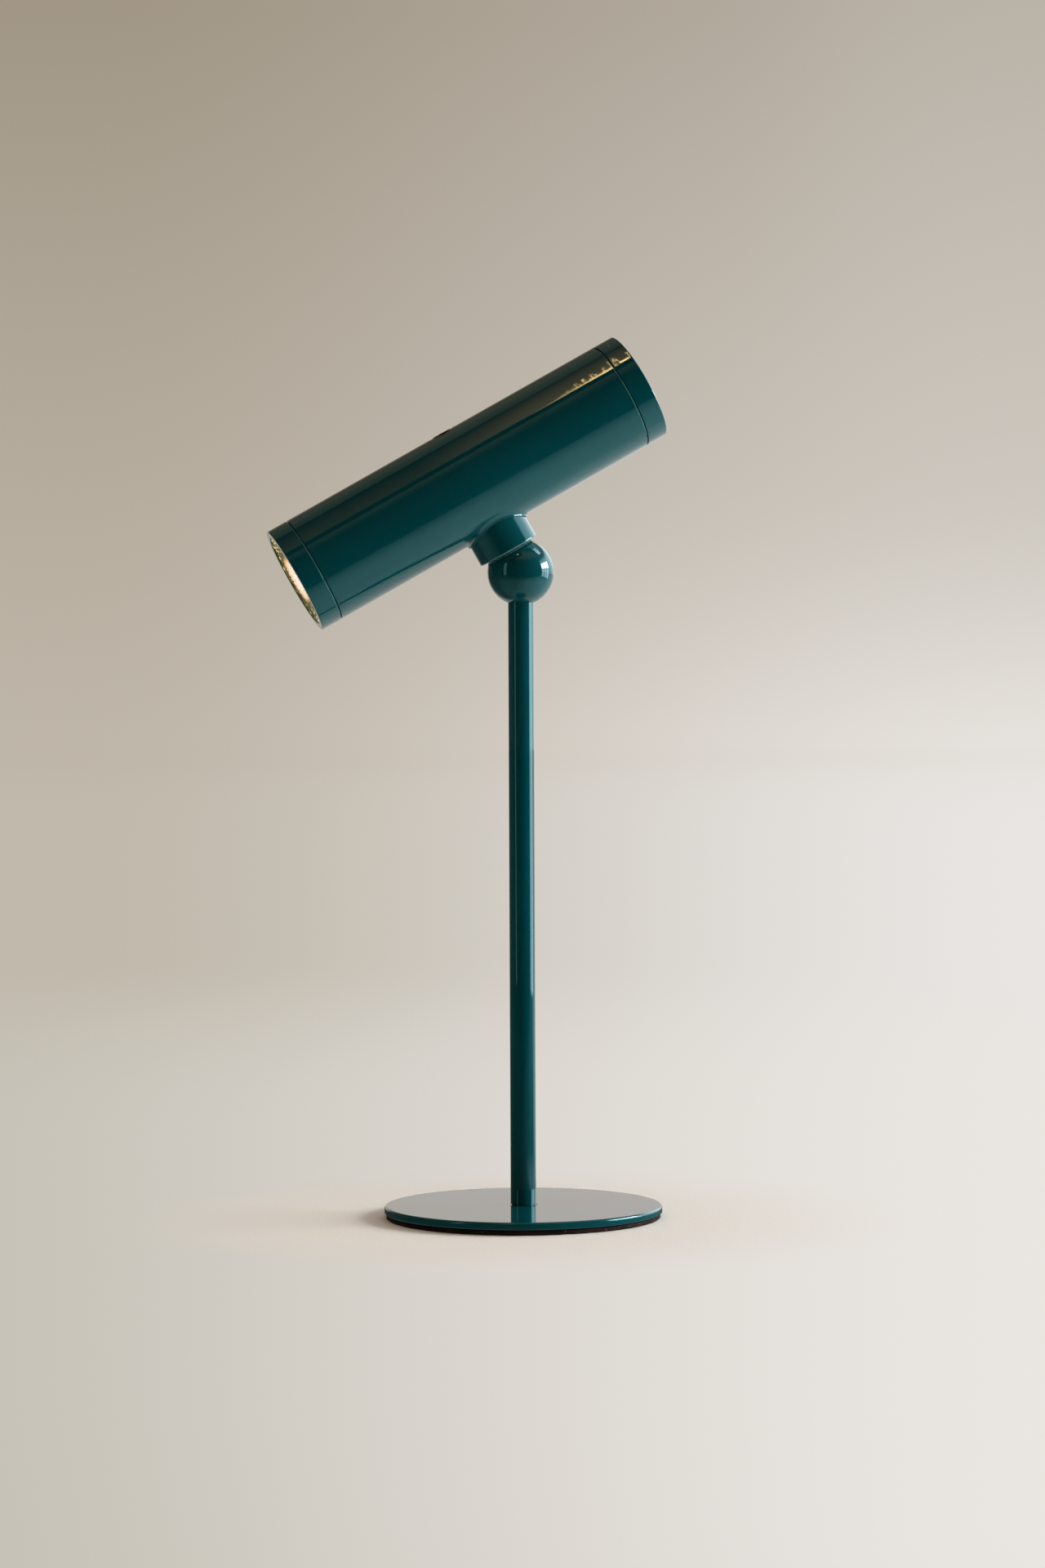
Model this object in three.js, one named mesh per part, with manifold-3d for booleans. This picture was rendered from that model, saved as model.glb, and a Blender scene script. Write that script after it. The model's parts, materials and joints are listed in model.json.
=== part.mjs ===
// Desk lamp: a cordless reading lamp whose tube-shaped head sits on a magnetic ball joint.
// Millimetres, +Z up. The origin is the centre of the pad's underside, on the table.
// The head tips in the XZ plane: its light end points to -X and down, its rear end to +X and up.

import * as THREE from "three";
import { mergeVertices } from "three/addons/utils/BufferGeometryUtils.js";
import Module from "manifold-3d";

const wasm = await Module();
wasm.setup();

// Fits, edges and how finely round things are cut into flats
const seatGap = 0.3;
const seamGap = 0.4;
const edgeBreak = 0.4;
const overrun = 2;
const roundSides = 48;
const tubeSides = 60;
const innerSides = 24;
const smallSides = 12;
const driveSides = 6;
const wireSides = 8;
const wireSteps = 12;
const arcSteps = 4;
const ballArcSteps = 12;

// Base
const baseRadius = 62.4;
const plateThickness = 3.3;
const plateEdgeRound = 1.2;
const padThickness = 2.1;
const padInset = 0.7;
const stemSocketDepth = 0.8;
const baseScrewRadius = 2.5;
const baseScrewLength = 18;
const baseScrewHeadRadius = 4.6;
const baseScrewHeadHeight = 2;
const baseScrewRecess = 1.1;

// Stem
const stemRadius = 5.75;
const stemWall = 1.2;
const stemInsertLength = 22;
const studRadius = 2.5;
const studInStem = 14;
const studInBall = 9;

// Ball joint
const ballRadius = 15;
const ballCentreHeight = 289.8;
const ballSocketDepth = 0.9;
const headTiltDegrees = 29.5;
const collarRadius = 14.25;
const collarRim = 2.05;
const seatRingFoot = 1.8;
const seatRingHeight = 2.1;
const magnetHeight = 2.5;
const poleThickness = 2.2;
const collarRoof = 2.3;

// Head tube, measured along it from the collar's axis
const tubeRadius = 25;
const tubeWall = 1.5;
const frontSeam = 80.7;
const rearSeam = 78.4;
const rimWidth = 2.3;
const rimRise = 1.3;
const rimRoot = 0.8;
const rimSink = 0.1;

// Neck screws and the block that they press on
const neckScrewRadius = 1.5;
const neckScrewPlace = 7;
const saddleBlockHeight = 3.7;
const saddleBlockLength = 24;
const saddleBlockWidth = 14;

// Light end
const frontRingLength = 9.8;
const frontRingWall = 2.5;
const lipInset = 0.85;
const lipThickness = 1.2;
const frontSpigotLength = 6;
const lensThickness = 2;
const gasketThickness = 1.2;
const gasketWidth = 1.6;
const reflectorDepth = 22;
const reflectorThroat = 7;
const reflectorWall = 1;
const reflectorFlange = 1.2;
const reflectorSides = 24;
const emitterSide = 9;
const emitterThickness = 1;
const ledBoardMargin = 3.2;
const ledBoardThickness = 1.6;
const ledScrewRadius = 1.25;
const ledScrewLength = 4.5;
const ledScrewInset = 5;

// Heat sink
const sinkBaseThickness = 4;
const sinkFinLength = 11;
const sinkFinThickness = 1.2;
const sinkFinCount = 12;
const sinkHubRadius = 6;
const sinkBossRadius = 3.2;
const sinkBossRise = 6;
const wireWindowWidth = 20;
const wireWindowGap = 1.3;

// Chassis
const bulkheadThickness = 2;
const trayCapGap = 5;
const trayThickness = 2;
const chassisScrewRadius = 1.25;
const chassisScrewLength = 9;
const cellWallThickness = 1.6;
const cellWallHeight = 13;
const cellRibHeight = 3;
const cellRibWidth = 1.5;
const boardPostRadius = 2.2;
const boardPostGap = 0.55;

// Cell
const cellRadius = 9.25;
const cellLength = 65;
const cellMiddle = 14;
const cellBoardGap = 1.7;
const cellPoleRadius = 3;
const cellPoleHeight = 1;
const tabThickness = 0.5;
const tabSide = 10;

// Button, its guide, switch and control board, stacked inwards from the tube's wall
const buttonPlace = -0.5;
const buttonRadius = 4.8;
const buttonProud = 0.1;
const buttonTravel = 0.6;
const buttonFlangeWidth = 1.1;
const buttonFlangeThickness = 0.8;
const pocketRadius = 6.7;
const pocketDepth = 0.8;
const guideWall = 1.9;
const guideHeight = 1.8;
const switchHeight = 3;
const switchSide = 6;
const plungerRadius = 1.7;
const plungerDepth = 1.6;
const boardLength = 34;
const boardThickness = 1.6;
const boardScrewRadius = 1;
const boardScrewLength = 6;
const boardScrewInset = 2.4;
const chipSide = 7;
const chipThickness = 1;
const chipPlace = 9;
const inductorSide = 5;
const inductorHeight = 2.8;
const inductorPlace = -8.5;

// Rear cap and charging inlet
const rearCapLength = 9.7;
const rearCapFloor = 2.2;
const rearCapEdge = 0.6;
const rearSpigotLength = 6;
const rearSpigotWall = 2.6;
const sealGrooveDepth = 1.3;
const sealGrooveWidth = 1.8;
const sealGroovePlace = 3;
const inletWidth = 9;
const inletHeight = 3.3;
const inletLength = 7.5;
const inletWall = 0.35;
const inletInset = 0.5;
const tongueWidth = 6.7;
const tongueThickness = 0.7;
const tongueLength = 4.5;
const socketBoardLength = 12;
const socketBoardEdge = 2.5;
const socketBoardThickness = 1;
const shelfThickness = 4;
const socketScrewRadius = 0.9;
const socketScrewLength = 3.6;
const socketScrewGap = 3;

// Wires
const wireRadius = 0.7;
const wireClearance = 0.4;
const wireLanding = 2.5;
const ledWirePlace = 5;
const socketWirePlace = 5;

// Shares of a small screw's shank radius and of a screw head's height
const headRadiusShare = 1.9;
const headHeightShare = 1.3;
const driveRadiusShare = 0.9;
const driveDepthShare = 0.55;

// Heights of the base and stem
const plateBottom = padThickness + seatGap;
const plateTop = plateBottom + plateThickness;
const baseScrewHeadTop = plateBottom + baseScrewRecess - seatGap;
const baseScrewHeadBottom = baseScrewHeadTop - baseScrewHeadHeight;
const stemBottom = plateTop - stemSocketDepth + seatGap;
const stemInsertRadius = stemRadius - stemWall - seatGap;
const ballSocketRadius = stemRadius + seatGap;
const ballSocketRim = -chord(ballRadius, ballSocketRadius);
const ballSocketFloor = ballSocketRim + ballSocketDepth;
const stemTop = ballCentreHeight + ballSocketFloor - seatGap;

// Heights along the collar's axis, from the ball's centre
const recessRadius = collarRadius - collarRim;
const seatRadius = recessRadius - seatGap;
const sphereRadius = ballRadius + seatGap;
const collarBottom = chord(ballRadius, recessRadius - seatRingFoot);
const seatRingBottom = collarBottom + seatGap;
const seatRingTop = seatRingBottom + seatRingHeight;
const magnetBottom = seatRingTop + seatGap;
const magnetTop = magnetBottom + magnetHeight;
const poleBottom = magnetTop + seatGap;
const poleTop = poleBottom + poleThickness;
const roofBottom = poleTop + seatGap;
const axisHeight = roofBottom + collarRoof + seatGap + tubeRadius;

// Places along the tube, from the collar's axis
const tubeInner = tubeRadius - tubeWall;
const sleeveRadius = tubeInner - seatGap;
const tubeFront = -frontSeam + seamGap / 2;
const tubeRear = rearSeam - seamGap / 2;
const ringBack = -frontSeam - seamGap / 2;
const ringFront = -frontSeam - frontRingLength;
const ledBoardRadius = sleeveRadius - ledBoardMargin;
const ledScrewPlace = ledBoardRadius - ledScrewInset;
const capFront = rearSeam + seamGap / 2;
const capRear = rearSeam + rearCapLength;
const capSpigotFront = capFront - rearSpigotLength;
const trayBack = capSpigotFront - trayCapGap;
const ringBoreRadius = tubeRadius - frontRingWall;
const lensRadius = ringBoreRadius - seatGap;
const lensFront = ringFront + lipThickness + seatGap;
const lensBack = lensFront + lensThickness;
const gasketFront = lensBack + seatGap;
const gasketBack = gasketFront + gasketThickness;
const reflectorRim = lensRadius - gasketWidth;
const reflectorFront = gasketBack + seatGap;
const reflectorBack = reflectorFront + reflectorDepth;
const emitterFront = reflectorBack + seatGap;
const emitterBack = emitterFront + emitterThickness;
const ledBoardFront = emitterBack + seatGap;
const ledBoardBack = ledBoardFront + ledBoardThickness;
const sinkFront = ledBoardBack + seatGap;
const sinkBaseBack = sinkFront + sinkBaseThickness;
const sinkBack = sinkBaseBack + sinkFinLength;
const chassisFront = sinkBack + seatGap;
const bulkheadBack = chassisFront + bulkheadThickness;

// Heights across the tube, from its axis
const saddleBlockTop = saddleBlockHeight - sleeveRadius;
const buttonTop = tubeRadius + buttonProud;
const guideBottom = sleeveRadius - guideHeight;
const flangeTop = guideBottom - seatGap;
const buttonBottom = flangeTop - buttonFlangeThickness;
const plungerTop = buttonBottom - seatGap;
const switchTop = plungerTop - buttonTravel;
const switchBottom = switchTop - switchHeight;
const boardTop = switchBottom - seatGap;
const boardBottom = boardTop - boardThickness;
const postTop = boardBottom - seatGap;
const wireLevel = boardTop + wireClearance + wireRadius;
const wireWindowFloor = wireLevel - wireRadius - wireWindowGap;
const cellHeight = boardBottom - cellBoardGap - cellRadius;
const tabTop = cellHeight + tabSide / 2;
const trayTop = cellHeight - cellRadius - seatGap;
const trayBottom = trayTop - trayThickness;
const cellRibTop = trayTop + cellRibHeight;
const sinkBossHeight = trayTop + sinkBossRise;

// Ends of the cell, its tabs and the control board
const cellFront = cellMiddle - cellLength / 2;
const cellRear = cellMiddle + cellLength / 2;
const frontTabBack = cellFront - seatGap;
const frontTabFront = frontTabBack - tabThickness;
const rearTabFront = cellRear + cellPoleHeight + seatGap;
const rearTabBack = rearTabFront + tabThickness;
const boardFront = buttonPlace - boardLength / 2;
const boardRear = buttonPlace + boardLength / 2;
const boardScrewAlong = boardLength / 2 - boardScrewInset;
const boardScrewAcross = cellRadius + boardPostGap + boardPostRadius;
const boardSide = boardScrewAcross + boardScrewInset;

// Charging inlet and its board
const inletRear = capRear - inletInset;
const inletFront = inletRear - inletLength;
const socketBoardTop = -inletHeight / 2 - seatGap;
const socketBoardBottom = socketBoardTop - socketBoardThickness;
const shelfTop = socketBoardBottom - seatGap;
const socketBoardBack = capRear - rearCapFloor - seatGap;
const socketBoardFront = socketBoardBack - socketBoardLength;
const socketScrewAlong = socketBoardFront + socketBoardLength / 2;
const socketScrewPlace = inletWidth / 2 + socketScrewGap;
const socketBoardSide = socketScrewPlace + socketBoardEdge;

// Half the width of a circle at a distance from its centre, and zero beyond its edge
function chord(radius, distance) {
  return Math.sqrt(Math.max(0, radius * radius - distance * distance));
}

// Joining and cutting

function solidOf(geometry) {
  const bare = geometry.index ? geometry.toNonIndexed() : geometry.clone();
  bare.deleteAttribute("normal");
  bare.deleteAttribute("uv");
  const merged = mergeVertices(bare);
  const corners = merged.index.array;
  const kept = [];
  for (let i = 0; i < corners.length; i += 3) {
    const [a, b, c] = corners.slice(i, i + 3);
    if (a !== b && b !== c && c !== a) kept.push(a, b, c);
  }
  return new wasm.Manifold(
    new wasm.Mesh({
      numProp: 3,
      vertProperties: merged.attributes.position.array,
      triVerts: new Uint32Array(kept),
    }),
  );
}

function geometryOf(solid) {
  const mesh = solid.getMesh();
  const geometry = new THREE.BufferGeometry();
  const places = new THREE.BufferAttribute(new Float32Array(mesh.vertProperties), 3);
  geometry.setAttribute("position", places);
  geometry.setIndex(new THREE.BufferAttribute(new Uint32Array(mesh.triVerts), 1));
  geometry.computeVertexNormals();
  return geometry;
}

function join(first, ...others) {
  return geometryOf(others.reduce((whole, other) => whole.add(solidOf(other)), solidOf(first)));
}

function cut(first, ...tools) {
  return geometryOf(tools.reduce((rest, tool) => rest.subtract(solidOf(tool)), solidOf(first)));
}

function overlap(first, second) {
  return geometryOf(solidOf(first).intersect(solidOf(second)));
}

// Shapes

// A profile of [radius, height] points turned about +Z. Its outer side runs upwards.
function turned(profile, sides = roundSides) {
  const points = profile.map(([radius, height]) => new THREE.Vector2(radius, height));
  return new THREE.LatheGeometry(points, sides).rotateX(Math.PI / 2);
}

// The same about +X, with the height measured along it
function turnedAlong(profile, sides = roundSides) {
  const points = profile.map(([radius, along]) => new THREE.Vector2(radius, along));
  return new THREE.LatheGeometry(points, sides).rotateZ(-Math.PI / 2);
}

// The corners of a ring's section or, where the bore is zero, of a disc's
function ringProfile(bore, radius, low, high) {
  const profile = [
    [bore, low],
    [radius, low],
    [radius, high],
    [bore, high],
  ];
  return bore > 0 ? [...profile, profile[0]] : profile;
}

function rod(radius, low, high, sides = smallSides) {
  return turned(ringProfile(0, radius, low, high), sides);
}

function rodAlong(radius, low, high, sides = smallSides) {
  return turnedAlong(ringProfile(0, radius, low, high), sides);
}

function block([x0, x1], [y0, y1], [z0, z1]) {
  const box = new THREE.BoxGeometry(x1 - x0, y1 - y0, z1 - z0);
  return box.translate((x0 + x1) / 2, (y0 + y1) / 2, (z0 + z1) / 2);
}

// Profile points on an arc, from one angle to another in degrees
function arc(centreRadius, centreHeight, radius, from, to, steps = arcSteps) {
  const points = [];
  for (let i = 0; i <= steps; i += 1) {
    const angle = THREE.MathUtils.degToRad(from + ((to - from) * i) / steps);
    points.push([centreRadius + radius * Math.cos(angle), centreHeight + radius * Math.sin(angle)]);
  }
  return points;
}

// A bar along X whose section across the tube is a slot with round ends
function slotBar(width, height, low, high) {
  const round = height / 2;
  const reach = width / 2 - round;
  const outline = new THREE.Shape();
  outline.absarc(reach, 0, round, -Math.PI / 2, Math.PI / 2);
  outline.absarc(-reach, 0, round, Math.PI / 2, (3 * Math.PI) / 2);
  const bar = new THREE.ExtrudeGeometry(outline, {
    depth: high - low,
    bevelEnabled: false,
    curveSegments: arcSteps,
  });
  return bar.rotateX(Math.PI / 2).rotateZ(Math.PI / 2).translate(low, 0, 0);
}

// A screw whose head's underside is at zero and whose shank runs down
function screw(radius, length, headRadius, headHeight) {
  const body = turned(
    [
      [0, -length],
      [radius - edgeBreak / 2, -length],
      [radius, edgeBreak / 2 - length],
      [radius, 0],
      [headRadius, 0],
      [headRadius, headHeight - edgeBreak / 2],
      [headRadius - edgeBreak / 2, headHeight],
      [0, headHeight],
    ],
    smallSides,
  );
  const driveFloor = headHeight * (1 - driveDepthShare);
  return cut(body, rod(driveRadiusShare * radius, driveFloor, headHeight + overrun, driveSides));
}

function panScrew(radius, length) {
  return screw(radius, length, radius * headRadiusShare, radius * headHeightShare);
}

// A round wire along a smooth curve through points
function wire(points) {
  const section = new THREE.Shape().absarc(0, 0, wireRadius, 0, 2 * Math.PI);
  const path = new THREE.CatmullRomCurve3(points.map((point) => new THREE.Vector3(...point)));
  return new THREE.ExtrudeGeometry(section, {
    steps: wireSteps,
    curveSegments: wireSides / 2,
    extrudePath: path,
    bevelEnabled: false,
  });
}

// Stand

function basePlate() {
  const plate = turned([
    [0, plateBottom],
    [baseRadius - edgeBreak, plateBottom],
    [baseRadius, plateBottom + edgeBreak],
    ...arc(baseRadius - plateEdgeRound, plateTop - plateEdgeRound, plateEdgeRound, 0, 90),
    [0, plateTop],
  ]);
  const recessTop = plateBottom + baseScrewRecess;
  return cut(
    plate,
    rod(stemRadius + seatGap, plateTop - stemSocketDepth, plateTop + overrun, innerSides),
    rod(baseScrewRadius + seatGap, plateBottom - overrun, plateTop, smallSides),
    rod(baseScrewHeadRadius + seatGap, plateBottom - overrun, recessTop, innerSides),
  );
}

function basePad() {
  const pad = rod(baseRadius - padInset, 0, padThickness, roundSides);
  const pocketFloor = baseScrewHeadBottom - seatGap;
  return cut(pad, rod(baseScrewHeadRadius + seatGap, pocketFloor, padThickness + overrun, innerSides));
}

function baseScrew() {
  const upright = screw(baseScrewRadius, baseScrewLength, baseScrewHeadRadius, baseScrewHeadHeight);
  return upright.rotateX(Math.PI).translate(0, 0, baseScrewHeadTop);
}

function stemTube() {
  return turned(ringProfile(stemRadius - stemWall, stemRadius, stemBottom, stemTop), innerSides);
}

function stemInsert(bore, low) {
  return turned(ringProfile(bore, stemInsertRadius, low, low + stemInsertLength), innerSides);
}

function ballStud() {
  const high = ballCentreHeight + ballSocketFloor + studInBall;
  return rod(studRadius, stemTop - studInStem, high);
}

// Ball joint, from the ball's centre

function ball() {
  const holeRadius = studRadius + seatGap;
  const holeTop = ballSocketFloor + studInBall + seatGap;
  const rimAngle = THREE.MathUtils.radToDeg(Math.atan2(ballSocketRim, ballSocketRadius));
  return turned([
    [0, holeTop],
    [holeRadius, holeTop],
    [holeRadius, ballSocketFloor],
    [ballSocketRadius, ballSocketFloor],
    ...arc(0, 0, ballRadius, rimAngle, 90, ballArcSteps).slice(0, -1),
    [0, ballRadius],
  ]);
}

function seatRing() {
  const low = THREE.MathUtils.radToDeg(Math.asin(seatRingBottom / sphereRadius));
  const high = THREE.MathUtils.radToDeg(Math.asin(seatRingTop / sphereRadius));
  const inner = arc(0, 0, sphereRadius, high, low);
  return turned([...inner, [seatRadius, seatRingBottom], [seatRadius, seatRingTop], inner[0]]);
}

function ringMagnet() {
  const bore = chord(sphereRadius, magnetBottom) + seatGap;
  return turned(ringProfile(bore, seatRadius, magnetBottom, magnetTop), innerSides);
}

// The neck screws run beside the collar's axis, one before it and one behind it.
function neckScrewHoles(low, high) {
  return [-1, 1].map((side) =>
    rod(neckScrewRadius + seatGap, low, high).translate(side * neckScrewPlace, 0, 0),
  );
}

function polePlate() {
  const plate = rod(seatRadius, poleBottom, poleTop, innerSides);
  return cut(plate, ...neckScrewHoles(poleBottom - overrun, poleTop + overrun));
}

function neckCollar() {
  const body = turned([
    [0, collarBottom],
    [collarRadius - edgeBreak, collarBottom],
    [collarRadius, collarBottom + edgeBreak],
    [collarRadius, axisHeight],
    [0, axisHeight],
  ]);
  const reach = collarRadius + overrun;
  const tubeSpace = rodAlong(tubeRadius + seatGap, -reach, reach, tubeSides);
  return cut(
    body,
    rod(recessRadius, collarBottom - overrun, roofBottom, roundSides),
    tubeSpace.translate(0, 0, axisHeight),
    ...neckScrewHoles(collarBottom, axisHeight),
  );
}

// Head, from the tube's axis. It lies along X, with the light end at -X.

// A ring with a hollow flank, bent to follow the tube's underside
function drawnRim() {
  const inner = collarRadius + seatGap;
  const outer = inner + rimWidth;
  const flankWidth = rimWidth - edgeBreak;
  const flank = [];
  for (let i = 0; i <= arcSteps; i += 1) {
    const angle = ((Math.PI / 2) * i) / arcSteps;
    const height = (rimRise + rimSink) * Math.sin(angle) - rimRise;
    flank.push([outer - flankWidth * Math.cos(angle), height]);
  }
  const ring = turned([[inner, rimRoot], [inner, -rimRise], ...flank, [outer, rimRoot], [inner, rimRoot]]);
  const places = ring.attributes.position;
  for (let i = 0; i < places.count; i += 1) {
    places.setZ(i, places.getZ(i) - chord(tubeRadius, places.getY(i)));
  }
  return ring;
}

function headTube() {
  const edge = edgeBreak / 2;
  const shell = turnedAlong(
    [
      [tubeInner, tubeFront],
      [tubeRadius - edge, tubeFront],
      [tubeRadius, tubeFront + edge],
      [tubeRadius, tubeRear - edge],
      [tubeRadius - edge, tubeRear],
      [tubeInner, tubeRear],
      [tubeInner, tubeFront],
    ],
    tubeSides,
  );
  const pocket = rod(pocketRadius, tubeRadius - pocketDepth, tubeRadius + overrun, innerSides);
  const hole = rod(buttonRadius + seatGap, 0, tubeRadius + overrun, innerSides);
  return cut(
    join(shell, drawnRim()),
    pocket.translate(buttonPlace, 0, 0),
    hole.translate(buttonPlace, 0, 0),
    ...neckScrewHoles(-tubeRadius - overrun, 0),
  );
}

function saddleBlock() {
  const bar = block(
    [-saddleBlockLength / 2, saddleBlockLength / 2],
    [-saddleBlockWidth / 2, saddleBlockWidth / 2],
    [-tubeRadius, saddleBlockTop],
  );
  const inside = rodAlong(sleeveRadius, -saddleBlockLength, saddleBlockLength, tubeSides);
  return cut(overlap(bar, inside), ...neckScrewHoles(-tubeRadius - overrun, 0));
}

function neckScrew(side) {
  const seat = saddleBlockTop + seatGap;
  const length = axisHeight + seat - poleBottom;
  return panScrew(neckScrewRadius, length).translate(side * neckScrewPlace, 0, seat);
}

function frontRing() {
  const edge = edgeBreak / 2;
  const lipRadius = ringBoreRadius - lipInset;
  const lipBack = ringFront + lipThickness;
  const spigotBack = ringBack + frontSpigotLength;
  const profile = [
    [lipRadius, ringFront],
    [tubeRadius - edgeBreak, ringFront],
    [tubeRadius, ringFront + edgeBreak],
    [tubeRadius, ringBack - edge],
    [tubeRadius - edge, ringBack],
    [sleeveRadius, ringBack],
    [sleeveRadius, spigotBack],
    [ringBoreRadius, spigotBack],
    [ringBoreRadius, lipBack],
    [lipRadius, lipBack],
  ];
  return turnedAlong([...profile, profile[0]]);
}

function lens() {
  return turnedAlong(ringProfile(0, lensRadius, lensFront, lensBack));
}

function lensGasket() {
  return turnedAlong(ringProfile(reflectorRim, lensRadius, gasketFront, gasketBack));
}

// A parabola from the throat to the rim, of one wall, with a flat flange at the rim
function reflector() {
  const flangeBack = reflectorFront + reflectorFlange;
  const inner = [];
  for (let i = 0; i <= arcSteps; i += 1) {
    const growth = (reflectorRim ** 2 - reflectorThroat ** 2) * (i / arcSteps);
    inner.push([Math.sqrt(reflectorThroat ** 2 + growth), reflectorBack - (reflectorDepth * i) / arcSteps]);
  }
  const outer = inner.slice(0, -1).map(([radius, along]) => [radius + reflectorWall, along]);
  const profile = [
    ...inner,
    [lensRadius, reflectorFront],
    [lensRadius, flangeBack],
    [reflectorRim, flangeBack],
    ...outer.reverse(),
  ];
  return turnedAlong([...profile, profile[0]], reflectorSides);
}

function ledEmitter() {
  const half = emitterSide / 2;
  return block([emitterFront, emitterBack], [-half, half], [-half, half]);
}

// The LED's wires pass over the top of its board, the sink and the bulkhead.
function wireWindow(low, high) {
  const half = wireWindowWidth / 2;
  return block([low - overrun, high + overrun], [-half, half], [wireWindowFloor, tubeRadius]);
}

function ledScrewHoles(low, high) {
  return [-1, 1].map((side) =>
    rodAlong(ledScrewRadius + seatGap, low, high).translate(0, side * ledScrewPlace, 0),
  );
}

function ledBoard() {
  const disc = rodAlong(ledBoardRadius, ledBoardFront, ledBoardBack, roundSides);
  return cut(
    disc,
    wireWindow(ledBoardFront, ledBoardBack),
    ...ledScrewHoles(ledBoardFront - overrun, ledBoardBack + overrun),
  );
}

function ledScrew(side) {
  const screwAlong = panScrew(ledScrewRadius, ledScrewLength).rotateY(-Math.PI / 2);
  return screwAlong.translate(ledBoardFront - seatGap, side * ledScrewPlace, 0);
}

// The chassis screws and the sink's bosses that take them stand behind the LED board's screws.
function atSinkBoss(geometry, side) {
  return geometry.translate(0, side * ledScrewPlace, sinkBossHeight);
}

function heatSink() {
  const half = sinkFinThickness / 2;
  const fins = [];
  for (let i = 0; i < sinkFinCount; i += 1) {
    const fin = block([sinkBaseBack - half, sinkBack], [-half, half], [0, sleeveRadius - seatGap]);
    fins.push(fin.rotateX(((i + 1 / 2) * 2 * Math.PI) / sinkFinCount));
  }
  const solid = join(
    rodAlong(sleeveRadius, sinkFront, sinkBaseBack, roundSides),
    rodAlong(sinkHubRadius, sinkFront, sinkBack, innerSides),
    ...fins,
    ...[-1, 1].map((side) => atSinkBoss(rodAlong(sinkBossRadius, sinkFront, sinkBack), side)),
  );
  const holeFront = chassisFront - chassisScrewLength - seatGap;
  const bossHole = (side) =>
    atSinkBoss(rodAlong(chassisScrewRadius + seatGap, holeFront, sinkBack + overrun), side);
  const ledHoleBack = ledBoardFront + ledScrewLength + seatGap;
  return cut(
    solid,
    wireWindow(sinkFront, sinkBack),
    bossHole(-1),
    bossHole(1),
    ...ledScrewHoles(sinkFront - overrun, ledHoleBack),
  );
}

// Chassis: a bulkhead, a tray for the cell and four posts for the control board

function boardCorner(geometry, along, across) {
  return geometry.translate(buttonPlace + along * boardScrewAlong, across * boardScrewAcross, 0);
}

const boardCorners = [
  [-1, -1],
  [-1, 1],
  [1, -1],
  [1, 1],
];

function cellWall(low) {
  return block(
    [low, low + cellWallThickness],
    [-cellRadius, cellRadius],
    [trayBottom, trayTop + cellWallHeight],
  );
}

function cellRib(side) {
  const near = chord(cellRadius + seatGap, cellHeight - cellRibTop) + seatGap;
  const across = [near, near + cellRibWidth].map((place) => side * place).sort((a, b) => a - b);
  return block([cellFront, cellRear], across, [trayBottom, cellRibTop]);
}

function chassis() {
  const solid = join(
    rodAlong(tubeRadius, chassisFront, bulkheadBack, roundSides),
    block([chassisFront, trayBack], [-tubeRadius, tubeRadius], [trayBottom, trayTop]),
    cellWall(frontTabFront - seatGap - cellWallThickness),
    cellWall(rearTabBack + seatGap),
    cellRib(-1),
    cellRib(1),
    ...boardCorners.map(([along, across]) =>
      boardCorner(rod(boardPostRadius, trayBottom, postTop), along, across),
    ),
  );
  const inside = rodAlong(sleeveRadius, chassisFront - overrun, capFront, tubeSides);
  const screwHole = (side) =>
    atSinkBoss(rodAlong(chassisScrewRadius + seatGap, chassisFront - overrun, bulkheadBack + overrun), side);
  const postHoleFloor = boardTop - boardScrewLength - seatGap;
  return cut(
    overlap(solid, inside),
    wireWindow(chassisFront, bulkheadBack),
    screwHole(-1),
    screwHole(1),
    ...boardCorners.map(([along, across]) =>
      boardCorner(rod(boardScrewRadius + seatGap, postHoleFloor, postTop + overrun), along, across),
    ),
  );
}

function chassisScrew(side) {
  const length = chassisScrewLength + bulkheadThickness;
  const screwAlong = panScrew(chassisScrewRadius, length).rotateY(Math.PI / 2);
  return atSinkBoss(screwAlong.translate(bulkheadBack + seatGap, 0, 0), side);
}

// Cell and its contact tabs

function batteryCell() {
  const cell = turnedAlong(
    [
      [0, cellFront],
      [cellRadius - edgeBreak, cellFront],
      [cellRadius, cellFront + edgeBreak],
      [cellRadius, cellRear - edgeBreak],
      [cellRadius - edgeBreak, cellRear],
      [cellPoleRadius, cellRear],
      [cellPoleRadius, cellRear + cellPoleHeight],
      [0, cellRear + cellPoleHeight],
    ],
    innerSides,
  );
  return cell.translate(0, 0, cellHeight);
}

function cellTab(low) {
  const half = tabSide / 2;
  return block([low, low + tabThickness], [-half, half], [cellHeight - half, tabTop]);
}

// Control board and what stands on it

function controlBoard() {
  const board = block([boardFront, boardRear], [-boardSide, boardSide], [boardBottom, boardTop]);
  const holes = boardCorners.map(([along, across]) =>
    boardCorner(rod(boardScrewRadius + seatGap, boardBottom - overrun, boardTop + overrun), along, across),
  );
  return cut(board, ...holes);
}

function boardScrew([along, across]) {
  return boardCorner(panScrew(boardScrewRadius, boardScrewLength), along, across).translate(
    0,
    0,
    boardTop + seatGap,
  );
}

function powerSwitch() {
  const half = switchSide / 2;
  const body = block([-half, half], [-half, half], [switchBottom, switchTop]);
  const wellFloor = switchTop - plungerDepth - buttonTravel - seatGap;
  const well = rod(plungerRadius + seatGap, wellFloor, switchTop + overrun);
  return cut(body, well).translate(buttonPlace, 0, 0);
}

function switchPlunger() {
  return rod(plungerRadius, switchTop - plungerDepth, plungerTop).translate(buttonPlace, 0, 0);
}

function boardBlock(place, side, height) {
  const middle = buttonPlace + place;
  const low = boardTop + seatGap;
  return block([middle - side / 2, middle + side / 2], [-side / 2, side / 2], [low, low + height]);
}

// Button

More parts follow.
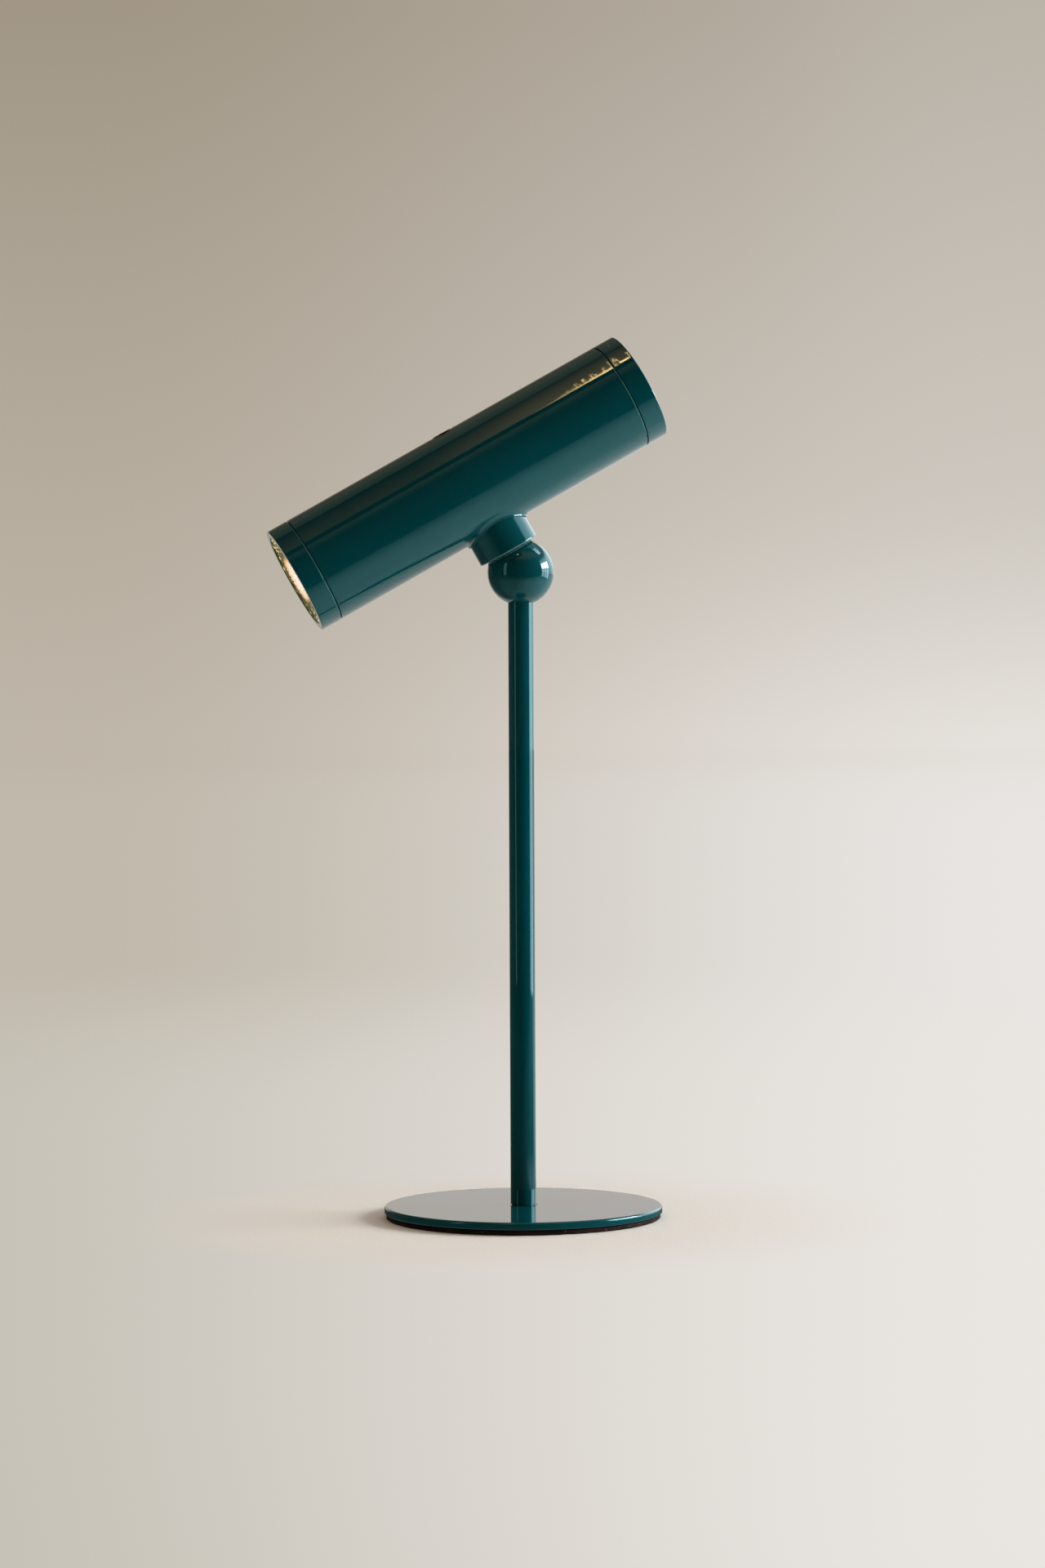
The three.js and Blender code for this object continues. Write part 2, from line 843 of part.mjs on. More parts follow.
function buttonGuide() {
  const bore = buttonRadius + seatGap;
  const bush = turned(ringProfile(bore, bore + guideWall, guideBottom, tubeRadius), innerSides);
  const inside = rodAlong(sleeveRadius, -tubeRadius, tubeRadius, tubeSides);
  return overlap(bush.translate(buttonPlace, 0, 0), inside);
}

function buttonCap() {
  const flangeRadius = buttonRadius + buttonFlangeWidth;
  const cap = turned(
    [
      [0, buttonBottom],
      [flangeRadius, buttonBottom],
      [flangeRadius, flangeTop],
      [buttonRadius, flangeTop],
      [buttonRadius, buttonTop - edgeBreak],
      [buttonRadius - edgeBreak, buttonTop],
      [0, buttonTop],
    ],
    innerSides,
  );
  return cap.translate(buttonPlace, 0, 0);
}

// Rear cap, its seal and the charging inlet

function rearCap() {
  const edge = edgeBreak / 2;
  const spigotInner = sleeveRadius - rearSpigotWall;
  const grooveRadius = sleeveRadius - sealGrooveDepth;
  const grooveFront = capFront - sealGroovePlace - sealGrooveWidth / 2;
  const grooveBack = grooveFront + sealGrooveWidth;
  const floor = capRear - rearCapFloor;
  const shell = turnedAlong([
    [0, floor],
    [spigotInner, floor],
    [spigotInner, capSpigotFront],
    [sleeveRadius, capSpigotFront],
    [sleeveRadius, grooveFront],
    [grooveRadius, grooveFront],
    [grooveRadius, grooveBack],
    [sleeveRadius, grooveBack],
    [sleeveRadius, capFront],
    [tubeRadius - edge, capFront],
    [tubeRadius, capFront + edge],
    [tubeRadius, capRear - rearCapEdge],
    [tubeRadius - rearCapEdge, capRear],
    [0, capRear],
  ]);
  const shelf = block(
    [socketBoardFront, floor + edge],
    [-socketBoardSide, socketBoardSide],
    [shelfTop - shelfThickness, shelfTop],
  );
  const slotWidth = inletWidth + 2 * seatGap;
  const slotHeight = inletHeight + 2 * seatGap;
  const holeFloor = socketBoardTop - socketScrewLength - seatGap;
  return cut(
    join(shell, shelf),
    slotBar(slotWidth, slotHeight, floor - overrun, capRear + overrun),
    ...socketScrewHoles(holeFloor, shelfTop + overrun),
  );
}

function capSeal() {
  const round = (sealGrooveDepth - seatGap) / 2;
  const section = arc(sleeveRadius - round, capFront - sealGroovePlace, round, 0, 360, wireSides);
  return turnedAlong([...section.slice(0, -1), section[0]]);
}

function socketScrewHoles(low, high) {
  return [-1, 1].map((side) =>
    rod(socketScrewRadius + seatGap, low, high).translate(socketScrewAlong, side * socketScrewPlace, 0),
  );
}

function chargeSocket() {
  const bothWalls = 2 * inletWall;
  const wellFloor = inletFront + bothWalls;
  const shell = cut(
    slotBar(inletWidth, inletHeight, inletFront, inletRear),
    slotBar(inletWidth - bothWalls, inletHeight - bothWalls, wellFloor, inletRear + overrun),
  );
  const tongue = block(
    [inletFront + inletWall, wellFloor + tongueLength],
    [-tongueWidth / 2, tongueWidth / 2],
    [-tongueThickness / 2, tongueThickness / 2],
  );
  return join(shell, tongue);
}

function socketBoard() {
  const board = block(
    [socketBoardFront, socketBoardBack],
    [-socketBoardSide, socketBoardSide],
    [socketBoardBottom, socketBoardTop],
  );
  return cut(board, ...socketScrewHoles(socketBoardBottom - overrun, socketBoardTop + overrun));
}

function socketScrew(side) {
  const upright = panScrew(socketScrewRadius, socketScrewLength);
  return upright.translate(socketScrewAlong, side * socketScrewPlace, socketBoardTop + seatGap);
}

// Wires

// From the LED board's face, round its top edge, back to the control board's front edge
function ledWire(side) {
  const y = side * ledWirePlace;
  const faceX = ledBoardFront - wireClearance - wireRadius;
  return wire([
    [faceX, y, wireWindowFloor - wireLanding],
    [faceX, y, wireWindowFloor + wireRadius],
    [ledBoardBack, y, wireLevel + wireRadius],
    [sinkBack, y, wireLevel],
    [bulkheadBack + wireLanding, y, wireLevel],
    [boardFront, y, wireLevel],
    [boardFront + wireLanding, y, wireLevel],
  ]);
}

// From the front tab up and over the control board's front edge
function frontCellWire() {
  const tabMiddle = (frontTabFront + frontTabBack) / 2;
  const x = Math.min(tabMiddle, boardFront - wireClearance) - wireRadius;
  return wire([
    [tabMiddle, 0, tabTop + wireClearance],
    [x, 0, (tabTop + boardBottom) / 2],
    [x, 0, boardBottom],
    [boardFront - wireRadius, 0, wireLevel],
    [boardFront + wireLanding, 0, wireLevel],
  ]);
}

// From the rear tab up and forward over the cell to the control board's rear edge
function rearCellWire() {
  const x = (rearTabFront + rearTabBack) / 2;
  return wire([
    [x, 0, tabTop + wireClearance],
    [x, 0, (tabTop + wireLevel) / 2],
    [x - wireLanding, 0, wireLevel],
    [(x + boardRear) / 2, 0, wireLevel],
    [boardRear, 0, wireLevel],
    [boardRear - wireLanding, 0, wireLevel],
  ]);
}

// From the inlet's board forward and up over the cell to the control board's rear edge
function socketWire(side) {
  const y = side * socketWirePlace;
  const low = socketBoardTop + wireClearance + wireRadius;
  const wallBack = rearTabBack + seatGap + cellWallThickness;
  return wire([
    [socketBoardFront + wireLanding, y, low],
    [socketBoardFront, y, low],
    [(socketBoardFront + wallBack) / 2, y, (low + wireLevel) / 2],
    [wallBack, y, wireLevel],
    [(wallBack + boardRear) / 2, y, wireLevel],
    [boardRear, y, wireLevel],
    [boardRear - wireLanding, y, wireLevel],
  ]);
}

// Materials: colour, roughness and metalness
const tealPaint = ["#064650", 0.2, 0.1];
const blackFoam = ["#17120f", 0.9, 0];
const blackRubber = ["#1c1c1c", 0.85, 0];
const steel = ["#b4b4b0", 0.35, 1];
const magnetNickel = ["#c4c6c8", 0.2, 1];
const aluminium = ["#b9bcbe", 0.4, 1];
const brightAluminium = ["#e6dcc0", 0.12, 1];
const brass = ["#b98a45", 0.3, 1];
const clearGlass = ["#f4ecd2", 0.05, 0];
const seatPlastic = ["#e8e6df", 0.45, 0];
const chassisPlastic = ["#2a2c2e", 0.6, 0];
const emitterPhosphor = ["#ffd76a", 0.5, 0];
const whiteBoard = ["#e9e9e4", 0.5, 0];
const greenBoard = ["#1f5a3a", 0.45, 0];
const cellWrap = ["#3f7fa8", 0.4, 0];
const blackPlastic = ["#121212", 0.5, 0];
const redWire = ["#a81f1a", 0.5, 0];
const blackWire = ["#161616", 0.5, 0];

function addPiece(group, name, geometry, [color, roughness, metalness]) {
  const material = new THREE.MeshStandardMaterial({ color, roughness, metalness });
  const mesh = new THREE.Mesh(geometry, material);
  mesh.name = name;
  group.add(mesh);
}

// Assembly
const lamp = new THREE.Group();
const joint = new THREE.Group();
const head = new THREE.Group();
joint.position.z = ballCentreHeight;
joint.rotation.y = -THREE.MathUtils.degToRad(headTiltDegrees);
head.position.z = axisHeight;
lamp.add(joint);
joint.add(head);

addPiece(lamp, "base_plate", basePlate(), tealPaint);
addPiece(lamp, "base_pad", basePad(), blackFoam);
addPiece(lamp, "base_screw", baseScrew(), steel);
addPiece(lamp, "stem_tube", stemTube(), tealPaint);
addPiece(lamp, "stem_foot_insert", stemInsert(baseScrewRadius + seatGap, stemBottom), steel);
addPiece(lamp, "stem_top_insert", stemInsert(studRadius + seatGap, stemTop - stemInsertLength), steel);
addPiece(lamp, "ball_stud", ballStud(), steel);
addPiece(lamp, "ball", ball().translate(0, 0, ballCentreHeight), tealPaint);

addPiece(joint, "seat_ring", seatRing(), seatPlastic);
addPiece(joint, "ring_magnet", ringMagnet(), magnetNickel);
addPiece(joint, "pole_plate", polePlate(), steel);
addPiece(joint, "neck_collar", neckCollar(), tealPaint);

addPiece(head, "head_tube", headTube(), tealPaint);
addPiece(head, "saddle_block", saddleBlock(), aluminium);
addPiece(head, "neck_screw_front", neckScrew(-1), steel);
addPiece(head, "neck_screw_rear", neckScrew(1), steel);

addPiece(head, "front_ring", frontRing(), tealPaint);
addPiece(head, "lens", lens(), clearGlass);
addPiece(head, "lens_gasket", lensGasket(), blackRubber);
addPiece(head, "reflector", reflector(), brightAluminium);
addPiece(head, "led_emitter", ledEmitter(), emitterPhosphor);
addPiece(head, "led_board", ledBoard(), whiteBoard);
addPiece(head, "led_screw_left", ledScrew(-1), steel);
addPiece(head, "led_screw_right", ledScrew(1), steel);
addPiece(head, "heat_sink", heatSink(), aluminium);

addPiece(head, "chassis", chassis(), chassisPlastic);
addPiece(head, "chassis_screw_left", chassisScrew(-1), steel);
addPiece(head, "chassis_screw_right", chassisScrew(1), steel);
addPiece(head, "battery_cell", batteryCell(), cellWrap);
addPiece(head, "cell_tab_front", cellTab(frontTabFront), magnetNickel);
addPiece(head, "cell_tab_rear", cellTab(rearTabFront), magnetNickel);

addPiece(head, "control_board", controlBoard(), greenBoard);
boardCorners.forEach((corner, i) => addPiece(head, "board_screw_" + (i + 1), boardScrew(corner), steel));
addPiece(head, "power_switch", powerSwitch(), blackPlastic);
addPiece(head, "switch_plunger", switchPlunger(), blackPlastic);
addPiece(head, "control_chip", boardBlock(chipPlace, chipSide, chipThickness), blackPlastic);
addPiece(head, "power_inductor", boardBlock(inductorPlace, inductorSide, inductorHeight), chassisPlastic);
addPiece(head, "button_guide", buttonGuide(), brass);
addPiece(head, "button_cap", buttonCap(), brass);

addPiece(head, "rear_cap", rearCap(), tealPaint);
addPiece(head, "cap_seal", capSeal(), blackRubber);
addPiece(head, "charge_socket", chargeSocket(), steel);
addPiece(head, "socket_board", socketBoard(), greenBoard);
addPiece(head, "socket_screw_left", socketScrew(-1), steel);
addPiece(head, "socket_screw_right", socketScrew(1), steel);

addPiece(head, "led_wire_red", ledWire(1), redWire);
addPiece(head, "led_wire_black", ledWire(-1), blackWire);
addPiece(head, "cell_wire_red", rearCellWire(), redWire);
addPiece(head, "cell_wire_black", frontCellWire(), blackWire);
addPiece(head, "socket_wire_red", socketWire(1), redWire);
addPiece(head, "socket_wire_black", socketWire(-1), blackWire);

export default lamp;
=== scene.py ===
import json
from math import asin, atan2, cos, hypot, pi, radians, sin, sqrt, tan

import bmesh
import bpy
from mathutils import Matrix, Vector


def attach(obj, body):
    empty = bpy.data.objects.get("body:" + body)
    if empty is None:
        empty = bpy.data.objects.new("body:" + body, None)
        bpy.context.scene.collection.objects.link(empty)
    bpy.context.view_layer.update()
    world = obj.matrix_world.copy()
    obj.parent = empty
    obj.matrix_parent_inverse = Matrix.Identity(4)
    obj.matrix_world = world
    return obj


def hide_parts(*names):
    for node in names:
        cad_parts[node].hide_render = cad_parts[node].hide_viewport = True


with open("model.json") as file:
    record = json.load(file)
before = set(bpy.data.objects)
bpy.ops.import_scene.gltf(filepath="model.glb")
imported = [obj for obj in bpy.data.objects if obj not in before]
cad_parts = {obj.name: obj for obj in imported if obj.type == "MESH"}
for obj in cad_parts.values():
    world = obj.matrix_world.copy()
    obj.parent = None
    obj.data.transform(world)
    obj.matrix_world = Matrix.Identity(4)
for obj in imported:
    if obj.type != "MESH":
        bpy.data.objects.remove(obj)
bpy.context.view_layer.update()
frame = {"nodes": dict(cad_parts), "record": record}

nodes = frame["nodes"]
MM = Matrix.Scale(0.001, 4)

# Sizes in millimetres, as in the part

GAP = 0.3
PLATE_BOTTOM, PLATE_TOP = 2.4, 5.7
PAD_TOP, PAD_RADIUS = 2.1, 61.7
BASE_RADIUS = 62.4
SCREW_HOLE, SCREW_HEAD_HOLE = 2.8, 4.9
STEM_RADIUS, STEM_WALL = 5.75, 1.2
BALL_RADIUS = 15.0
BALL_HEIGHT = 289.8
SOCKET_DEPTH, STUD_HOLE_DEPTH = 0.9, 9.3
COLLAR_RADIUS = 14.25
RECESS_RADIUS = 12.2
SEAT_WIDTH, SEAT_THICK = 1.8, 2.1
MAGNET_THICK, POLE_THICK, COLLAR_THICK = 2.5, 2.2, 2.3
NECK_SCREW_PLACE, NECK_HOLE = 7, 1.8
TUBE_RADIUS = 25.0
TUBE_INNER = 23.5
SLEEVE, SLEEVE_LENGTH = 23.2, 6
TUBE_FRONT, TUBE_REAR = -80.5, 78.2
RING_BACK, RING_FRONT = -80.9, -90.5
RING_BORE, LIP_RADIUS, LIP_THICK = 22.5, 21.65, 1.2
CAP_FRONT, CAP_REAR = 78.6, 88.1
CHAMFER_WIDTH, CHAMFER_DEPTH, CHAMFER_LEAN = 0.4, 0.45, 0.1
BUTTON_ALONG = -0.5
BUTTON_RADIUS = 4.8
HEAD_TILT = radians(29.5)


def chord(radius, distance):
    """Half the length of a circle's chord at a distance from its centre."""
    return sqrt(radius * radius - distance * distance)


SOCKET_RADIUS = STEM_RADIUS + GAP
SOCKET_RIM = -chord(BALL_RADIUS, SOCKET_RADIUS)
SOCKET_FLOOR = SOCKET_RIM + SOCKET_DEPTH
STEM_TOP = BALL_HEIGHT + SOCKET_FLOOR - GAP
COLLAR_BOTTOM = chord(BALL_RADIUS, RECESS_RADIUS - SEAT_WIDTH)
SEAT_BOTTOM = COLLAR_BOTTOM + GAP
SEAT_TOP = SEAT_BOTTOM + SEAT_THICK
ROOF = SEAT_TOP + GAP + MAGNET_THICK + GAP + POLE_THICK + GAP
AXIS_HEIGHT = ROOF + COLLAR_THICK + GAP + TUBE_RADIUS

BALL = Matrix.Translation((0, 0, BALL_HEIGHT))
JOINT = BALL @ Matrix.Rotation(-HEAD_TILT, 4, "Y")
HEAD = JOINT @ Matrix.Translation((0, 0, AXIS_HEIGHT))
ALONG = HEAD @ Matrix.Rotation(radians(90), 4, "Y")
BUTTON = HEAD @ Matrix.Translation((BUTTON_ALONG, 0, 0))

# Outlines

SUPPORT = 0.15
LARGEST_SHARE = 0.48
STADIUM_STEPS = 20


def arc(radius, start, stop, steps):
    """Points on a circle round the origin, from one angle to another."""
    angles = [start + (stop - start) * k / steps for k in range(steps + 1)]
    return [(radius * cos(a), radius * sin(a)) for a in angles]


def circle(radius, sides, turn=0):
    """Points all round a circle, turned on by a share of the step between them."""
    angles = [2 * pi * (k + turn) / sides for k in range(sides)]
    return [(radius * cos(a), radius * sin(a)) for a in angles]


def rectangle(half_width, low, high):
    return [(-half_width, low), (half_width, low), (half_width, high), (-half_width, high)]


def stadium(width, height):
    """An outline with straight sides and round ends."""
    end_radius, reach = height / 2, (width - height) / 2
    right = [(reach + x, y) for x, y in arc(end_radius, -pi / 2, pi / 2, STADIUM_STEPS)]
    return right + [(-x, -y) for x, y in right]


def neighbours(items, closed):
    """Each item with the one after it, and the last with the first in a closed line."""
    return list(zip(items, items[1:] + items[:1] if closed else items[1:]))


def rounded(corners, closed=False, steps=5):
    """A line of points from (radius, height, fillet) corners, with support points beside each fillet.

    A fillet takes up no more than the largest share of the sides next to it.
    """
    count = len(corners)
    line = []
    for i, (r, z, fillet) in enumerate(corners):
        here = Vector((r, z))
        at_end = not closed and i in (0, count - 1)
        if fillet <= 0 or at_end:
            line.append([here])
            continue
        before = Vector(corners[i - 1][:2]) - here
        after = Vector(corners[(i + 1) % count][:2]) - here
        half = before.angle(after) / 2
        reach = min(fillet / tan(half), LARGEST_SHARE * before.length, LARGEST_SHARE * after.length)
        size = reach * tan(half)
        start, stop = here + before.normalized() * reach, here + after.normalized() * reach
        middle = here + (before.normalized() + after.normalized()).normalized() * (size / sin(half))
        a, b = atan2(*(start - middle).yx), atan2(*(stop - middle).yx)
        turn = (b - a + pi) % (2 * pi) - pi
        line.append([middle + size * Vector(point) for point in arc(1, a, a + turn, steps)])
    points = []
    for bend, following in neighbours(line, closed):
        points += bend
        run = following[0] - bend[-1]
        if run.length > 4 * SUPPORT:
            points.append(bend[-1] + run.normalized() * SUPPORT)
            points.append(following[0] - run.normalized() * SUPPORT)
    if not closed:
        points += line[-1]
    return [(p.x, p.y) for p in points]


# Meshes

WELD = 1e-5
SHARP_ANGLE = radians(38)


def new_object(name, mesh, place):
    mesh.transform(MM @ place)
    obj = bpy.data.objects.new(name, mesh)
    bpy.context.scene.collection.objects.link(obj)
    return obj


def bare_mesh(bm, name):
    """Turns a bmesh as it is into a mesh."""
    mesh = bpy.data.meshes.new(name)
    bm.to_mesh(mesh)
    bm.free()
    return mesh


def finish_mesh(bm, name):
    """Welds a bmesh, turns its faces outwards and makes a mesh of it."""
    bmesh.ops.remove_doubles(bm, verts=bm.verts, dist=WELD)
    bmesh.ops.recalc_face_normals(bm, faces=bm.faces)
    return bare_mesh(bm, name)


def bridge(bm, low, high):
    """Faces between two rings of vertices. Either ring may be a single point."""
    sides = max(len(low), len(high))
    for k in range(sides):
        m = (k + 1) % sides
        corners = [low[k], low[m]] if len(low) > 1 else [low[0]]
        corners += [high[m], high[k]] if len(high) > 1 else [high[0]]
        bm.faces.new(corners)


def revolved(name, profile, place, sides, closed=False, bend=None):
    """A profile of (radius, height) points turned about the local Z axis. bend may move each point."""
    bm = bmesh.new()
    rings = []
    for r, z in profile:
        if r < WELD:
            rings.append([bm.verts.new((0, 0, z))])
        else:
            points = [(x, y, z) for x, y in circle(r, sides)]
            rings.append([bm.verts.new(bend(*point) if bend else point) for point in points])
    for low, high in neighbours(rings, closed):
        if len(low) > 1 or len(high) > 1:
            bridge(bm, low, high)
    return new_object(name, finish_mesh(bm, name), place)


def prism(name, outline, low, high, place):
    """An outline in X and Y, pushed out along Z."""
    bm = bmesh.new()
    rings = [[bm.verts.new((x, y, z)) for x, y in outline] for z in (low, high)]
    bm.faces.new(list(reversed(rings[0])))
    bm.faces.new(rings[1])
    bridge(bm, *rings)
    return new_object(name, finish_mesh(bm, name), place)


def carve(obj, others, how="DIFFERENCE"):
    """Cuts others from obj, or joins them to it, and removes them."""
    for other in others:
        change = obj.modifiers.new("change", "BOOLEAN")
        change.operation, change.solver, change.object = how, "EXACT", other
        bpy.context.view_layer.update()
        made = bpy.data.meshes.new_from_object(obj.evaluated_get(bpy.context.evaluated_depsgraph_get()))
        obj.modifiers.clear()
        obj.data = made
        bpy.data.objects.remove(other)
    return obj


def soften(obj):
    obj.data.shade_smooth()
    obj.data.set_sharp_from_angle(angle=SHARP_ANGLE)
    return obj


def dress(obj, body, slot, material, *replaced):
    """Gives an object its material and its body, and hides the nodes of the part that it stands for."""
    obj.data.materials.clear()
    obj.data.materials.append(material)
    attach(obj, body)
    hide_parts(*replaced)


# Node trees


class Nodes:
    """A node tree, with a short call for each kind of node that the scene uses."""

    def __init__(self, owner):
        owner.use_nodes = True
        self.tree = owner.node_tree

    def add(self, kind, **settings):
        node = self.tree.nodes.new(kind)
        for key, value in settings.items():
            setattr(node, key, value)
        return node

    def link(self, source, target):
        self.tree.links.new(source, target)

    def feed(self, socket, value):
        """Sets a socket to a number, colour or vector, or links another node's output to it."""
        if isinstance(value, tuple) and socket.type == "RGBA":
            value = (*value, 1)
        if isinstance(value, (int, float, tuple, Vector)):
            socket.default_value = value
        else:
            self.link(value, socket)

    def split(self, vector):
        """The X, Y and Z of a vector."""
        parts = self.add("ShaderNodeSeparateXYZ")
        self.link(vector, parts.inputs[0])
        return parts.outputs["X"], parts.outputs["Y"], parts.outputs["Z"]

    def math(self, operation, a, b=0.0):
        node = self.add("ShaderNodeMath", operation=operation)
        for socket, value in zip(node.inputs, (a, b)):
            self.feed(socket, value)
        return node.outputs["Value"]

    def times(self, first, *others):
        for other in others:
            first = self.math("MULTIPLY", first, other)
        return first

    def plus(self, first, *others):
        for other in others:
            first = self.math("ADD", first, other)
        return first

    def vector(self, operation, a, b=Vector((0, 0, 0))):
        node = self.add("ShaderNodeVectorMath", operation=operation)
        for socket, value in zip(node.inputs, (a, b)):
            self.feed(socket, value)
        return node.outputs["Value" if operation in ("LENGTH", "DOT_PRODUCT") else "Vector"]

    def ranged(self, value, low, high, to_low=0.0, to_high=1.0, kind="LINEAR"):
        """Turns the range from low to high into the one from to_low to to_high, and stops at its ends."""
        node = self.add("ShaderNodeMapRange", interpolation_type=kind)
        keys = ("Value", "From Min", "From Max", "To Min", "To Max")
        for key, given in zip(keys, (value, low, high, to_low, to_high)):
            self.feed(node.inputs[key], given)
        return node.outputs["Result"]

    def eased(self, value, low, high, to_low=0.0, to_high=1.0):
        """The same as ranged, with a soft start and end."""
        return self.ranged(value, low, high, to_low, to_high, "SMOOTHSTEP")

    def beyond(self, length, low, high):
        """0 where a length is under low millimetres, 1 where it is over high."""
        return self.ranged(length, low / 1000, high / 1000)

    def short_of(self, length, low, high):
        """1 where a length is under low millimetres, 0 where it is over high."""
        return self.ranged(length, low / 1000, high / 1000, 1.0, 0.0)

    def mixed(self, share, a, b, kind="MIX"):
        """A colour between a and b or, with MULTIPLY, between a and a times b."""
        node = self.add("ShaderNodeMix", data_type="RGBA", blend_type=kind)
        for socket, value in ((node.inputs["Factor"], share), (node.inputs[6], a), (node.inputs[7], b)):
            self.feed(socket, value)
        return node.outputs[2]

    def light_shader(self, kind, colour, strength):
        """A shader that gives light."""
        node = self.add(kind)
        self.feed(node.inputs["Color"], colour)
        self.feed(node.inputs["Strength"], strength)
        return node.outputs[0]

    def sky(self, colour, strength):
        return self.light_shader("ShaderNodeBackground", colour, strength)

    def glow(self, colour, strength):
        return self.light_shader("ShaderNodeEmission", colour, strength)

    def mix_shaders(self, share, a, b):
        node = self.add("ShaderNodeMixShader")
        for socket, value in zip(node.inputs, (share, a, b)):
            self.link(value, socket)
        return node.outputs[0]


class Look(Nodes):
    """The node tree of a new material, around its Principled BSDF."""

    def __init__(self, name):
        self.material = bpy.data.materials.new(name)
        super().__init__(self.material)
        self.shader = self.tree.nodes["Principled BSDF"]
        self.place = self.add("ShaderNodeTexCoord").outputs["Object"]

    def noise(self, scale, detail=3, stretch=(1, 1, 1)):
        mapping = self.add("ShaderNodeMapping")
        mapping.inputs["Scale"].default_value = stretch
        self.link(self.place, mapping.inputs["Vector"])
        node = self.add("ShaderNodeTexNoise")
        node.inputs["Scale"].default_value = scale
        node.inputs["Detail"].default_value = detail
        self.link(mapping.outputs["Vector"], node.inputs["Vector"])
        return node.outputs["Fac"]

    def clouds(self, scale, detail=3, stretch=(1, 1, 1)):
        """Noise that uses the whole range from 0 to 1."""
        return self.ranged(self.noise(scale, detail, stretch), 0.3, 0.7)

    def cells(self, scale):
        node = self.add("ShaderNodeTexVoronoi")
        node.inputs["Scale"].default_value = scale
        self.link(self.place, node.inputs["Vector"])
        return node.outputs["Distance"]

    def layer(self, name):
        """A number that the mesh holds for each vertex."""
        return self.add("ShaderNodeAttribute", attribute_name=name).outputs["Fac"]

    def bump(self, height, depth, strength=1.0):
        node = self.add("ShaderNodeBump")
        node.inputs["Strength"].default_value = strength
        node.inputs["Distance"].default_value = depth
        self.link(height, node.inputs["Height"])
        return node.outputs["Normal"]

    def set(self, **values):
        for key, value in values.items():
            self.feed(self.shader.inputs[key.replace("_", " ")], value)
        return self.material

    def set_surface(self, shader):
        """Puts another shader in the place of the Principled BSDF."""
        self.tree.nodes.remove(self.shader)
        self.link(shader, self.tree.nodes["Material Output"].inputs["Surface"])
        return self.material


# Materials


def simple(name, dark, light, rough, grain, depth, stretch=(1, 1, 1), **more):
    """Two tones in soft clouds, with a fine grain in roughness and height."""
    n = Look(name)
    fine = n.noise(grain, 2, stretch)
    return n.set(
        Base_Color=n.mixed(n.clouds(grain / 12, 4, stretch), dark, light),
        Roughness=n.ranged(fine, 0.3, 0.7, *rough),
        Normal=n.bump(fine, depth),
        **more,
    )


def along_and_out(n, place, axis):
    """How far a point lies along an axis of a place on the lamp, and how far from that axis."""
    spot = n.vector("SUBTRACT", n.place, (MM @ place).translation)
    line = place.to_3x3() @ Vector(axis)
    return n.vector("DOT_PRODUCT", spot, line), n.vector("LENGTH", n.vector("CROSS_PRODUCT", spot, line))


def seam_masks(n):
    """Painted shade inside the two seams, and a pale painted highlight along the edges of the seams and of
    the collar's brink.
    """
    along, out = along_and_out(n, HEAD, (1, 0, 0))
    from_middle = n.math("ABSOLUTE", n.math("ADD", along, -(TUBE_FRONT + TUBE_REAR) / 2000))
    past_seams = (TUBE_REAR - TUBE_FRONT) / 2 + 0.55
    between = n.short_of(from_middle, past_seams, past_seams + 0.1)
    # Painted shade: the gap inside each seam, near black and with little reflection
    painted_seam_shade = n.times(between, n.short_of(out, TUBE_RADIUS - 0.75, TUBE_RADIUS - 0.58))
    # Painted highlight: a pale line along the chamfer at each seam
    ends = []
    for edge, width in ((RING_BACK, 0.25), (TUBE_REAR, 0.15)):
        from_edge = n.beyond(along, edge - CHAMFER_WIDTH - 0.02, edge - CHAMFER_WIDTH + 0.02)
        ends.append(n.math("SUBTRACT", from_edge, n.beyond(along, edge + width, edge + width + 0.05)))
    ends = n.times(n.plus(*ends), n.beyond(out, TUBE_RADIUS - 0.48, TUBE_RADIUS - 0.44))
    # Painted highlight along the collar's lower brink
    lift, collar_out = along_and_out(n, JOINT, (0, 0, 1))
    low_down = n.short_of(lift, COLLAR_BOTTOM + 0.35, COLLAR_BOTTOM + 0.5)
    brink = n.times(low_down, n.beyond(collar_out, COLLAR_RADIUS - 0.5, COLLAR_RADIUS - 0.4))
    return painted_seam_shade, n.math("MAXIMUM", ends, brink)


def paint(name="teal_paint", seams=False):
    """Teal paint with a faint peel and a few pale specks; with seams, painted shade inside the seams and a
    painted highlight along their edges and the collar's brink.
    """
    n = Look(name)
    speck = n.times(n.ranged(n.cells(95), 0.030, 0.018), n.ranged(n.noise(33, 0), 0.60, 0.66))
    colour = n.mixed(n.clouds(14), (0.0009, 0.049, 0.058), (0.0014, 0.061, 0.071))
    colour = n.mixed(speck, colour, (0.45, 0.50, 0.47))
    wear = n.ranged(n.noise(60, 5), 0.35, 0.75, 0.012, 0.034)
    if seams:
        # Painted shade in the seams, and a painted highlight on their edges and the collar's brink, broken
        # up a little by noise
        painted_seam_shade, painted_edge_highlight = seam_masks(n)
        highlight_patches = n.ranged(n.noise(260), 0.35, 0.6, 0.75, 1.0)
        colour = n.mixed(n.times(painted_edge_highlight, highlight_patches), colour, (0.085, 0.215, 0.225))
        colour = n.mixed(painted_seam_shade, colour, (0.0004, 0.0005, 0.0005))
        n.set(Specular_IOR_Level=n.ranged(painted_seam_shade, 0.0, 1.0, 0.5, 0.02))
    return n.set(
        Base_Color=colour,
        Roughness=n.math("MAXIMUM", wear, n.times(speck, 0.6)),
        Normal=n.bump(n.noise(420, 2), 2.2e-6),
        IOR=1.75,
        Specular_Tint=(0.46, 0.92, 1.0),
    )


